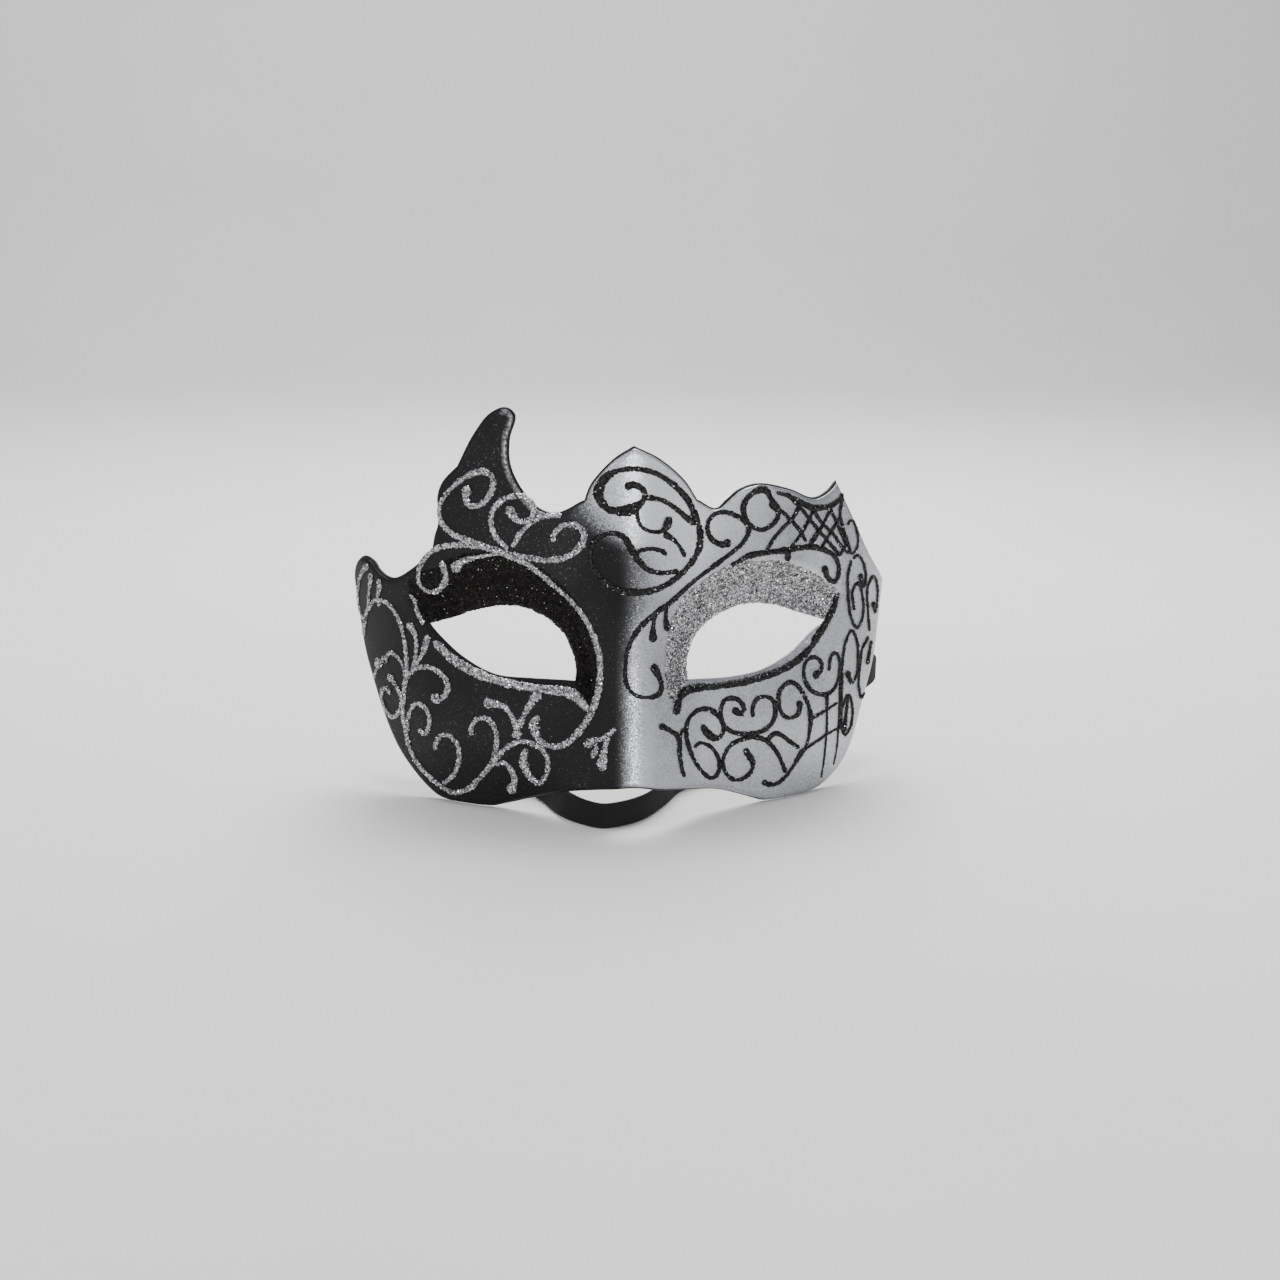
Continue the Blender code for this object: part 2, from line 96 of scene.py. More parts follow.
# The eye openings and the border of the lid hollows. The left ones are mirrored,
# and the left opening ends a little nearer to the nose.
RIGHT_OPENING = (
    (0.170, 0.342, 1), (0.175, 0.383, 0), (0.218, 0.446, 0), (0.312, 0.494, 0),
    (0.400, 0.506, 0), (0.498, 0.493, 0), (0.600, 0.465, 0), (0.650, 0.450, 1),
    (0.610, 0.434, 0), (0.527, 0.387, 0), (0.420, 0.353, 0), (0.303, 0.341, 0),
)
LEFT_OPENING = (
    (0.168, 0.342, 1), (0.174, 0.384, 0), (0.219, 0.450, 0), (0.311, 0.497, 0),
    (0.403, 0.507, 0), (0.491, 0.491, 0), (0.575, 0.468, 0), (0.634, 0.454, 1),
    (0.600, 0.428, 0), (0.524, 0.383, 0), (0.416, 0.348, 0), (0.304, 0.343, 0),
)
LID_BORDER = (
    (0.118, 0.285, 1), (0.098, 0.345, 0), (0.100, 0.420, 0), (0.150, 0.535, 0),
    (0.225, 0.595, 0), (0.310, 0.628, 0), (0.410, 0.637, 0), (0.520, 0.618, 0),
    (0.620, 0.580, 0), (0.725, 0.512, 1), (0.675, 0.466, 0), (0.622, 0.418, 0),
    (0.570, 0.380, 0), (0.515, 0.353, 0), (0.445, 0.334, 0), (0.370, 0.325, 0),
    (0.230, 0.316, 0), (0.155, 0.307, 0),
)
# Where the silver spray begins: height in mm, the middle of the fade in mm along
# the sheet, and the fade's half width in mm.
SPRAY_LINE = (
    (0.0, -2.9, 2.7), (45.0, -2.7, 3.0), (54.0, -0.8, 5.0), (66.0, 2.2, 7.0),
    (76.0, 2.4, 7.0), (81.0, 1.5, 7.0), (85.0, -5.0, 9.0), (90.0, -10.0, 11.0),
    (96.0, -15.0, 9.0), (102.0, -20.0, 8.0), (125.0, -20.0, 8.0),
)


# Plane curves

def smooth_curve(points: Points, corners: list[bool], step: float, closed: bool,
                 sub: int = 12) -> Points:
    """Run a centripetal spline through the points and sample it evenly.

    Args:
        points: one row for each point, any number of columns.
        corners: True where the curve breaks.
        step: distance between samples.
        closed: True for a loop.
        sub: how many fine pieces each stretch between two points is cut into.

    Returns:
        The samples; the corners are among them.
    """
    pts = np.array(points, float)
    count = len(pts)
    spans = count if closed else count - 1
    out = []
    for i in range(spans):
        p1, p2 = pts[i], pts[(i + 1) % count]
        before = 2 * p1 - p2 if corners[i] else pts[(i - 1) % count]
        after = 2 * p2 - p1 if corners[(i + 1) % count] else pts[(i + 2) % count]
        if not closed and i == 0:
            before = 2 * p1 - p2
        if not closed and i == spans - 1:
            after = 2 * p2 - p1
        t1 = math.sqrt(np.linalg.norm(p1 - before)) + 1e-9
        t2 = t1 + math.sqrt(np.linalg.norm(p2 - p1)) + 1e-9
        t3 = t2 + math.sqrt(np.linalg.norm(after - p2)) + 1e-9
        t = (t1 + (t2 - t1) * np.arange(sub) / sub)[:, None]
        a1 = (t1 - t) / t1 * before + t / t1 * p1
        a2 = (t2 - t) / (t2 - t1) * p1 + (t - t1) / (t2 - t1) * p2
        a3 = (t3 - t) / (t3 - t2) * p2 + (t - t2) / (t3 - t2) * after
        b1 = (t2 - t) / t2 * a1 + t / t2 * a2
        b2 = (t3 - t) / (t3 - t1) * a2 + (t - t1) / (t3 - t1) * a3
        out.append((t2 - t) / (t2 - t1) * b1 + (t - t1) / (t2 - t1) * b2)
    fine = np.concatenate(out)
    total = len(fine)
    if closed:
        marks = [i * sub for i in range(count) if corners[i]] or [0]
    else:
        fine = np.concatenate([fine, pts[-1:]])
        marks = [0]
    result = []
    for m, start in enumerate(marks):
        end = marks[(m + 1) % len(marks)]
        if closed and end <= start:
            end += total
        picks = [j % total for j in range(start, end + 1)] if closed else range(total + 1)
        run = fine[list(picks)]
        seg = np.linalg.norm(np.diff(run, axis=0), axis=1)
        along = np.concatenate([[0.0], np.cumsum(seg)])
        pieces = max(1, int(round(along[-1] / step)))
        spots = np.linspace(0.0, along[-1], pieces + 1)
        spots = spots[:-1] if closed else spots
        result.append(np.stack([np.interp(spots, along, run[:, c])
                                for c in range(run.shape[1])], axis=1))
    return np.concatenate(result)


def distance_to(loop: Points, pts: Points) -> Points:
    """Distance of each point to a closed loop."""
    best = np.full(len(pts), 1e9)
    for p0, p1 in zip(loop, np.roll(loop, -1, axis=0)):
        d = p1 - p0
        w = pts - p0
        t = np.clip((w @ d) / (d @ d + 1e-18), 0.0, 1.0)
        best = np.minimum(best, ((w - t[:, None] * d) ** 2).sum(axis=1))
    return np.sqrt(best)


def inside(loop: Points, pts: Points) -> Points:
    """Tell which points lie inside a closed loop."""
    hit = np.zeros(len(pts), bool)
    x, y = pts[:, 0], pts[:, 1]
    for (x1, y1), (x2, y2) in zip(loop, np.roll(loop, -1, axis=0)):
        if y1 != y2:
            hit ^= ((y1 > y) != (y2 > y)) & (x < (x2 - x1) * (y - y1) / (y2 - y1) + x1)
    return hit


def inside_any(loops: list[Points], pts: Points) -> Points:
    """Tell which points lie inside at least one of the loops."""
    return np.any([inside(loop, pts) for loop in loops], axis=0)


def distance_to_any(loops: list[Points], pts: Points) -> Points:
    """Distance of each point to the nearest loop."""
    return np.min([distance_to(loop, pts) for loop in loops], axis=0)


def smooth_step(value: Points) -> Points:
    """Ease from 0 to 1."""
    v = np.clip(value, 0.0, 1.0)
    return v * v * (3.0 - 2.0 * v)


def left_of_travel(loop: Points, closed: bool = True) -> Points:
    """Unit directions to the left of a plane curve's travel, one for each point."""
    if closed:
        ahead = np.roll(loop, -1, axis=0) - np.roll(loop, 1, axis=0)
    else:
        ahead = np.gradient(loop, axis=0)
    ahead = ahead / (np.linalg.norm(ahead, axis=1)[:, None] + 1e-12)
    return np.stack([-ahead[:, 1], ahead[:, 0]], axis=1)


def unit(rows: Points) -> Points:
    """Scale each row to length 1."""
    return rows / np.linalg.norm(rows, axis=1)[:, None]


def between(pts: Points, bounds: tuple[float, float, float]) -> Points:
    """Tell which sheet points lie between two places around and above a height."""
    left, right, low = bounds
    return (pts[:, 0] > left) & (pts[:, 0] < right) & (pts[:, 1] > low)


# The moulded surface

@dataclass
class ShellForm:
    """The moulded surface: a flat sheet wrapped round an ellipse and lifted by its relief.

    Points on the sheet are pairs in metres: around, from the middle to the right,
    and up. cheek_middle and cheek_reach are shares of the half girth and of the
    height. horn_rim and crown_rim are bounds for between().
    """

    half_girth: float = 0.1000
    height: float = 0.1210
    plan_half_width: float = 0.0900
    plan_depth: float = 0.0660
    lean: float = 0.020
    wall: float = 0.0013
    nose_rise: float = 0.0160
    bridge_rise: float = 0.0030
    bridge_height: float = 0.0800
    nose_foot: float = 0.0140
    nose_spread: float = 0.0155
    bridge_spread: float = 0.0095
    cheek_rise: float = 0.0025
    cheek_middle: tuple[float, float] = (0.47, 0.19)
    cheek_reach: tuple[float, float] = (0.26, 0.14)
    socket_depth: float = 0.0075
    socket_slope: float = 0.75
    rim_turn: float = 0.0007
    rim_width: float = 0.0018
    horn_rim: tuple[float, float, float] = (-0.0385, -0.0262, 0.0885)
    crown_rim: tuple[float, float, float] = (-0.0235, -0.0005, 0.0905)
    middle_x: float = 0.000495
    middle_y: float = 0.015301
    outer: Points = field(init=False)
    eyes: list[Points] = field(init=False)
    lids: list[Points] = field(init=False)

    def __post_init__(self) -> None:
        """Sample the loops and the plan's arc lengths."""
        self.angles = np.radians(np.linspace(0.0, 105.0, 2101))
        run_x = np.diff(self.plan_half_width * np.sin(self.angles))
        run_y = np.diff(self.plan_depth * (1.0 - np.cos(self.angles)))
        self.lengths = np.concatenate([[0.0], np.cumsum(np.hypot(run_x, run_y))])
        self.outer = self.loop(OUTLINE, 0.0010)
        self.outer[:, 1] = np.maximum(self.outer[:, 1], 0.0)
        self.eyes = [self.loop(RIGHT_OPENING, 0.0008), self.loop(LEFT_OPENING, 0.0008, True)]
        self.lids = [self.loop(LID_BORDER, 0.0010), self.loop(LID_BORDER, 0.0010, True)]

    def loop(self, table: tuple, step: float, mirror: bool = False) -> Points:
        """Sample a table of shares as a loop in metres."""
        side = -1.0 if mirror else 1.0
        pts = [(side * a * self.half_girth, u * self.height) for a, u, _ in table]
        return smooth_curve(pts, [bool(c) for _, _, c in table], step, True)

    def relief(self, pts: Points) -> Points:
        """Height over the plain wrapped sheet at each point."""
        around, up = pts[:, 0], pts[:, 1]
        nose_length = self.bridge_height - self.nose_foot
        fall = np.clip((self.bridge_height - up) / nose_length, 0.0, 1.25)
        rise = self.bridge_rise + (self.nose_rise - self.bridge_rise) * fall ** 1.3
        spread = self.bridge_spread + (self.nose_spread - self.bridge_spread) * fall
        height = rise * np.exp(-(around / spread) ** 2)
        for side in (1.0, -1.0):
            across = around - side * self.cheek_middle[0] * self.half_girth
            above = up - self.cheek_middle[1] * self.height
            off = (across / (self.cheek_reach[0] * self.half_girth)) ** 2
            off = off + (above / (self.cheek_reach[1] * self.height)) ** 2
            height += self.cheek_rise * np.exp(-off)
        for eye, lid in zip(self.eyes, self.lids):
            within = inside(lid, pts)
            if not within.any():
                continue
            to_eye = distance_to(eye, pts[within])
            to_eye[inside(eye, pts[within])] = 0.0
            to_lid = distance_to(lid, pts[within])
            width = to_eye + to_lid
            depth = np.minimum(self.socket_depth, self.socket_slope * width)
            share = to_lid / (width + 1e-9)
            # a broad slope, then a short step beside the opening
            cove = 0.72 * smooth_step(share / 0.70) + 0.28 * smooth_step((share - 0.84) / 0.16)
            height[within] -= depth * cove
        near = np.clip(1.0 - distance_to(self.outer, pts) / self.rim_width, 0.0, 1.0)
        return height - self.rim_turn * near * near

    def front(self, pts: Points) -> Points:
        """Points of the outer face in the part's frame."""
        rise = self.relief(pts)
        around, up = pts[:, 0], pts[:, 1]
        angle = np.interp(np.abs(around), self.lengths, self.angles)
        tx, ty = self.plan_half_width * np.cos(angle), self.plan_depth * np.sin(angle)
        size = np.hypot(tx, ty)
        x = np.sign(around) * (self.plan_half_width * np.sin(angle) + rise * ty / size)
        y = self.plan_depth * (1.0 - np.cos(angle)) - rise * tx / size + self.lean * up
        return np.stack([x - self.middle_x, y - self.middle_y, np.maximum(up, 0.0)], axis=1)

    def normals(self, pts: Points, reach: float = 0.0004) -> Points:
        """Outward directions of the outer face."""
        du = self.front(pts + [reach, 0.0]) - self.front(pts - [reach, 0.0])
        up = np.maximum(pts, [-1.0, reach])
        dv = self.front(up + [0.0, reach]) - self.front(up - [0.0, reach])
        return unit(np.cross(du, dv))

    def spray(self, pts: Points) -> Points:
        """How much silver spray lies on each point, 0 black to 1 silver."""
        heights, middles, fades = (np.array(c) * 0.001 for c in zip(*SPRAY_LINE))
        middle = np.interp(pts[:, 1], heights, middles)
        fade = np.interp(pts[:, 1], heights, fades)
        return smooth_step(0.5 + 0.5 * (pts[:, 0] - middle) / fade)

    def horn_rim_spray_and_highlight(self, pts: Points) -> Points:
        """A strip on the horn's rim where it faces the crown: partly silver spray, partly a
        painted highlight of the bevel.
        """
        gap = distance_to(self.outer, pts)
        strip = smooth_step((0.0019 - gap) / 0.0005) * smooth_step((gap - 0.0002) / 0.0003)
        return strip * between(pts, self.horn_rim)

    def reach_of_spray(self, pts: Points) -> Points:
        """Share of the spray that stays at each point; the outermost rim is bare."""
        gap = distance_to(self.outer, pts)
        fade = np.where(between(pts, self.crown_rim), 0.0012, 0.0006)
        return smooth_step((gap - 0.0001) / fade)


# The picture

@dataclass
class PictureView:
    """The camera at the picture's viewing angle, and where its pixels land on the mask."""

    place: tuple[float, float, float] = (-0.044043, -0.494033, 0.182911)
    ahead: tuple[float, float, float] = (0.09156, 0.96158, -0.25882)
    upward: tuple[float, float, float] = (0.01144, 0.25888, 0.96584)
    pixels: float = 1280.0
    focal_pixels: float = 1700.0
    sensor: float = 36.0

    def axes(self) -> tuple[Points, Points, Points]:
        """Right, up and ahead as unit vectors."""
        ahead = np.array(self.ahead) / np.linalg.norm(self.ahead)
        right = np.cross(ahead, np.array(self.upward))
        right /= np.linalg.norm(right)
        return right, np.cross(right, ahead), ahead

    def make_camera(self) -> None:
        """Create the camera and make it the scene's."""
        right, up, ahead = self.axes()
        data = bpy.data.cameras.new("picture_camera")
        data.sensor_width = self.sensor
        data.lens = self.focal_pixels / self.pixels * self.sensor
        data.clip_start, data.clip_end = 0.01, 20.0
        camera = bpy.data.objects.new("picture_camera", data)
        turn = Matrix((right, up, -ahead)).transposed()
        camera.matrix_world = Matrix.Translation(self.place) @ turn.to_4x4()
        bpy.context.scene.collection.objects.link(camera)
        bpy.context.scene.camera = camera

    def rays(self, pixels: Points) -> Points:
        """Directions of the sight lines through the pixels."""
        right, up, ahead = self.axes()
        half = 0.5 * self.pixels
        px = np.array(pixels, float)
        aside = (px[:, 0:1] - half) * right + (half - px[:, 1:2]) * up
        return unit(ahead + aside / self.focal_pixels)

    def project(self, points: Points) -> Points:
        """Pixels at which points of the part are seen."""
        right, up, ahead = self.axes()
        off = points - np.array(self.place)
        depth = off @ ahead
        half = 0.5 * self.pixels
        return np.stack([half + self.focal_pixels * (off @ right) / depth,
                         half - self.focal_pixels * (off @ up) / depth], axis=1)


@dataclass
class Landing:
    """Finds the place on the sheet that a pixel of the picture shows."""

    view: PictureView
    sheet: Points
    faces: list[tuple[int, ...]]
    surface: Points

    def __post_init__(self) -> None:
        """Prepare the search."""
        self.tree = BVHTree.FromPolygons([tuple(p) for p in self.surface], self.faces)
        self.seen = self.view.project(self.surface)

    def locate(self, pixels: Points) -> Points:
        """Places on the sheet, in metres, shown by the pixels.

        A pixel that just misses the mask lands on the nearest visible point of it.
        """
        eye = Vector(self.view.place)
        found = []
        for pixel, ray in zip(pixels, self.view.rays(pixels)):
            place, _, index, _ = self.tree.ray_cast(eye, Vector(ray))
            if index is None:
                near = np.argmin(((self.seen - np.array(pixel)) ** 2).sum(axis=1))
                found.append(self.sheet[near])
                continue
            ids = list(self.faces[index][:3])
            a, b, c = self.surface[ids]
            solve = np.stack([b - a, c - a], axis=1)
            share, *_ = np.linalg.lstsq(solve, np.array(place) - a, rcond=None)
            s, t = share
            p, q, r = self.sheet[ids]
            found.append(p + s * (q - p) + t * (r - p))
        return np.array(found)


# Finishes

def new_group(name: str, inputs: dict[str, float], outputs: dict[str, str]) -> bpy.types.NodeTree:
    """Make an empty shader group with number inputs and named outputs.

    Args:
        name: the group's name.
        inputs: each input's name and its usual value.
        outputs: each output's name and its socket kind: Float, Color or Vector.
    """
    group = bpy.data.node_groups.new(name, "ShaderNodeTree")
    for label, value in inputs.items():
        socket = group.interface.new_socket(name=label, in_out="INPUT",
                                            socket_type="NodeSocketFloat")
        socket.default_value = value
    for label, kind in outputs.items():
        group.interface.new_socket(name=label, in_out="OUTPUT",
                                   socket_type="NodeSocket" + kind)
    return group


@dataclass
class Wiring:
    """Short calls to add and join the nodes of one tree."""

    tree: bpy.types.NodeTree

    def add(self, kind: str, **settings: object) -> bpy.types.Node:
        """Add a node and set its properties."""
        node = self.tree.nodes.new(kind)
        for key, value in settings.items():
            setattr(node, key, value)
        return node

    def join(self, source: object, target: object) -> None:
        """Link two sockets, or set a plain value on the target."""
        if isinstance(source, bpy.types.NodeSocket):
            self.tree.links.new(source, target)
        else:
            target.default_value = source

    def sums(self, operation: str, first: object, second: object = 0.0,
             third: object = 0.0, clamp: bool = False) -> bpy.types.NodeSocket:
        """Add a Math node."""
        node = self.add("ShaderNodeMath", operation=operation, use_clamp=clamp)
        for socket, value in zip(node.inputs, (first, second, third)):
            self.join(value, socket)
        return node.outputs[0]

    def vector(self, operation: str, first: object, second: object = None,
               scale: object = None) -> bpy.types.NodeSocket:
        """Add a Vector Math node."""
        node = self.add("ShaderNodeVectorMath", operation=operation)
        self.join(first, node.inputs[0])
        if second is not None:
            self.join(second, node.inputs[1])
        if scale is not None:
            self.join(scale, node.inputs["Scale"])
        return node.outputs[0]

    def span(self, value: object, low: float, high: float, to_low: float,
             to_high: float) -> bpy.types.NodeSocket:
        """Add a clamped Map Range node."""
        node = self.add("ShaderNodeMapRange")
        for socket, item in zip(node.inputs, (value, low, high, to_low, to_high)):
            self.join(item, socket)
        return node.outputs[0]

    def blend(self, share: object, first: object, second: object) -> bpy.types.NodeSocket:
        """Mix two colours, each a socket or three plain numbers."""
        node = self.add("ShaderNodeMix", data_type="RGBA")
        self.join(share, node.inputs[0])
        for socket, colour in ((node.inputs[6], first), (node.inputs[7], second)):
            self.join((*colour, 1.0) if isinstance(colour, tuple) else colour, socket)
        return node.outputs[2]

    def bump(self, height: object, strength: float, distance: float,
             normal: object = None) -> bpy.types.NodeSocket:
        """Add a Bump node."""
        node = self.add("ShaderNodeBump")
        node.inputs["Strength"].default_value = strength
        node.inputs["Distance"].default_value = distance
        self.join(height, node.inputs["Height"])
        if normal is not None:
            self.join(normal, node.inputs["Normal"])
        return node.outputs[0]

    def noise(self, place: object, scale: object, detail: float = 2.0) -> bpy.types.NodeSocket:
        """Add a Noise texture and return its value."""
        node = self.add("ShaderNodeTexNoise")
        self.join(place, node.inputs["Vector"])
        self.join(scale, node.inputs["Scale"])
        node.inputs["Detail"].default_value = detail
        return node.outputs["Fac"]

    def place(self) -> bpy.types.NodeSocket:
        """Object coordinates."""
        return self.add("ShaderNodeTexCoord").outputs["Object"]

    def attribute(self, name: str) -> bpy.types.NodeSocket:
        """A value kept on the mesh."""
        return self.add("ShaderNodeAttribute", attribute_name=name).outputs["Fac"]


def paint_grain_group() -> bpy.types.NodeTree:
    """Grain of a sprayed surface: a fine orange peel, drift of tone, and droplets."""
    group = new_group("paint_grain", {"Fineness": 1400.0, "Droplets": 900.0},
                      {"Height": "Float", "Drift": "Float", "Droplet": "Float"})
    w = Wiring(group)
    put, take = w.add("NodeGroupInput"), w.add("NodeGroupOutput")
    place = w.place()
    fine = w.noise(place, put.outputs["Fineness"], 3.0)
    drift = w.noise(place, 38.0, 3.0)
    spots = w.add("ShaderNodeTexVoronoi")
    w.join(place, spots.inputs["Vector"])
    w.join(put.outputs["Droplets"], spots.inputs["Scale"])
    near = w.span(spots.outputs["Distance"], 0.08, 0.30, 1.0, 0.0)
    chance = w.add("ShaderNodeSeparateColor")
    w.join(spots.outputs["Color"], chance.inputs[0])
    rare = w.sums("GREATER_THAN", chance.outputs[0], 0.88)
    w.join(w.sums("MULTIPLY", near, rare), take.inputs["Droplet"])
    w.join(fine, take.inputs["Height"])
    w.join(drift, take.inputs["Drift"])
    return group


def glitter_group() -> bpy.types.NodeTree:
    """Glitter flakes: small cells, each with its own tilt and brightness."""
    group = new_group("glitter_cells", {"Fineness": 2600.0, "Tilt": 0.7},
                      {"Chance": "Float", "Second": "Float", "Normal": "Vector"})
    w = Wiring(group)
    put, take = w.add("NodeGroupInput"), w.add("NodeGroupOutput")
    cells = w.add("ShaderNodeTexVoronoi")
    w.join(w.place(), cells.inputs["Vector"])
    w.join(put.outputs["Fineness"], cells.inputs["Scale"])
    parts = w.add("ShaderNodeSeparateColor")
    w.join(cells.outputs["Color"], parts.inputs[0])
    lean = w.vector("SUBTRACT", cells.outputs["Color"], (0.5, 0.5, 0.5))
    lean = w.vector("SCALE", lean, scale=put.outputs["Tilt"])
    facing = w.add("ShaderNodeNewGeometry").outputs["Normal"]
    turned = w.vector("NORMALIZE", w.vector("ADD", facing, lean))
    w.join(parts.outputs[0], take.inputs["Chance"])
    w.join(parts.outputs[1], take.inputs["Second"])
    w.join(turned, take.inputs["Normal"])
    return group


@dataclass
class GroupShelf:
    """The shader groups, each made once."""

    made: dict[str, bpy.types.NodeTree] = field(default_factory=dict)

    def get(self, name: str) -> bpy.types.NodeTree:
        """Return a group by its short name."""
        makers = {"grain": paint_grain_group, "glitter": glitter_group}
        if name not in self.made:
            self.made[name] = makers[name]()
        return self.made[name]


def open_material(name: str) -> tuple[bpy.types.Material, Wiring, bpy.types.Node]:
    """Make a material and return it with its wiring and its Principled node."""
    mat = bpy.data.materials.new(name)
    mat.use_nodes = True
    return mat, Wiring(mat.node_tree), mat.node_tree.nodes["Principled BSDF"]


def put_group(w: Wiring, group: bpy.types.NodeTree, **values: float) -> bpy.types.Node:
    """Place a shader group and set its inputs."""
    node = w.add("ShaderNodeGroup")
    node.node_tree = group
    for label, value in values.items():
        node.inputs[label].default_value = value
    return node


@dataclass(frozen=True)
class SprayedPaint:
    """Satin black paint with silver metal spray faded over it, and a painted highlight that
    lightens the silver round the crown.
    """

    black: tuple[float, float, float] = (0.0036, 0.0036, 0.0040)
    black_dust: tuple[float, float, float] = (0.0080, 0.0080, 0.0085)
    silver: tuple[float, float, float] = (0.620, 0.632, 0.670)
    silver_low: tuple[float, float, float] = (0.200, 0.207, 0.226)
    # rim: the strip's grey on the horn's rim, partly silver spray and partly a painted highlight
    # of the bevel
    rim: tuple[float, float, float] = (0.330, 0.330, 0.335)
    # crown: the middle of the painted highlight that lightens the silver
    crown: tuple[float, float, float] = (0.008, -0.014, 0.104)

    def make(self, shelf: GroupShelf) -> bpy.types.Material:
        """Build the material."""
        mat, w, shader = open_material("sprayed_paint")
        grain = put_group(w, shelf.get("grain"), Fineness=1500.0, Droplets=1100.0)
        height, drift = grain.outputs["Height"], grain.outputs["Drift"]
        spray = w.attribute("spray")
        speckle = w.noise(w.place(), 2300.0, 1.0)
        lift = w.sums("MULTIPLY_ADD", w.sums("SUBTRACT", speckle, 0.5), 1.5, spray)
        lift = w.sums("MULTIPLY_ADD", w.sums("SUBTRACT", drift, 0.5), 0.30, lift)
        hard = w.span(lift, 0.25, 0.75, 0.0, 1.0)
        fade = w.sums("ADD", w.sums("MULTIPLY", hard, 0.60), w.sums("MULTIPLY", spray, 0.40))
        mist = w.sums("MULTIPLY", grain.outputs["Droplet"], w.span(spray, 0.02, 0.6, 0.0, 1.0))
        fade = w.sums("MAXIMUM", fade, w.sums("MULTIPLY", mist, 0.8), clamp=True)
        # the horn's rim strip, partly silver spray and partly painted highlight, broken into
        # patches
        rim_patches = w.span(w.noise(w.place(), 1300.0, 2.0), 0.38, 0.62, 0.15, 0.90)
        edge = w.sums("MULTIPLY", w.attribute("rim"), rim_patches)
        flakes = put_group(w, shelf.get("glitter"), Fineness=4300.0)
        w.join(w.sums("MULTIPLY", fade, 0.30), flakes.inputs["Tilt"])
        dark = w.blend(w.span(drift, 0.35, 0.70, 0.0, 1.0), self.black, self.black_dust)
        tone = w.sums("ADD", w.span(drift, 0.30, 0.70, 0.25, 0.65),
                      w.span(flakes.outputs["Chance"], 0.0, 1.0, -0.25, 0.35), clamp=True)
        # painted highlight: the silver is made lighter near the crown
        from_crown = w.add("ShaderNodeVectorMath", operation="DISTANCE")
        w.join(w.place(), from_crown.inputs[0])
        from_crown.inputs[1].default_value = self.crown
        crown_highlight = w.span(from_crown.outputs["Value"], 0.012, 0.038, 0.42, 0.0)
        tone = w.sums("ADD", tone, crown_highlight, clamp=True)
        colour = w.blend(fade, dark, w.blend(tone, self.silver_low, self.silver))
        w.join(w.blend(edge, colour, self.rim), shader.inputs["Base Color"])
        cover = w.sums("MAXIMUM", fade, edge)
        w.join(w.sums("MULTIPLY", cover, 0.94), shader.inputs["Metallic"])
        shader.inputs["Specular IOR Level"].default_value = 0.20
        rough = w.sums("MULTIPLY_ADD", w.sums("SUBTRACT", drift, 0.5), 0.10, 0.42)
        rough = w.sums("MULTIPLY_ADD", w.sums("SUBTRACT", height, 0.5), 0.10, rough)
        w.join(w.sums("MULTIPLY_ADD", cover, -0.08, rough), shader.inputs["Roughness"])
        w.join(w.bump(height, 0.25, 0.0002, flakes.outputs["Normal"]),
               shader.inputs["Normal"])
        return mat


@dataclass(frozen=True)
class BarePlastic:
    """The unpainted inside of the moulded sheet, black and slightly dusty."""

    colour: tuple[float, float, float] = (0.010, 0.010, 0.0105)
    dust: tuple[float, float, float] = (0.034, 0.034, 0.035)

    def make(self, shelf: GroupShelf) -> bpy.types.Material:
        """Build the material."""
        mat, w, shader = open_material("bare_black_plastic")
        grain = put_group(w, shelf.get("grain"), Fineness=700.0, Droplets=500.0)
        share = w.sums("ADD", w.span(grain.outputs["Drift"], 0.35, 0.75, 0.0, 0.7),
                       w.sums("MULTIPLY", grain.outputs["Droplet"], 0.5), clamp=True)
        w.join(w.blend(share, self.colour, self.dust), shader.inputs["Base Color"])
        w.join(w.span(grain.outputs["Drift"], 0.2, 0.8, 0.42, 0.62),
               shader.inputs["Roughness"])
        w.join(w.bump(grain.outputs["Height"], 0.25, 0.0003), shader.inputs["Normal"])
        return mat


class GlitterTone(Enum):
    """The two colours of glitter glue."""

    SILVER = "silver"
    BLACK = "black"


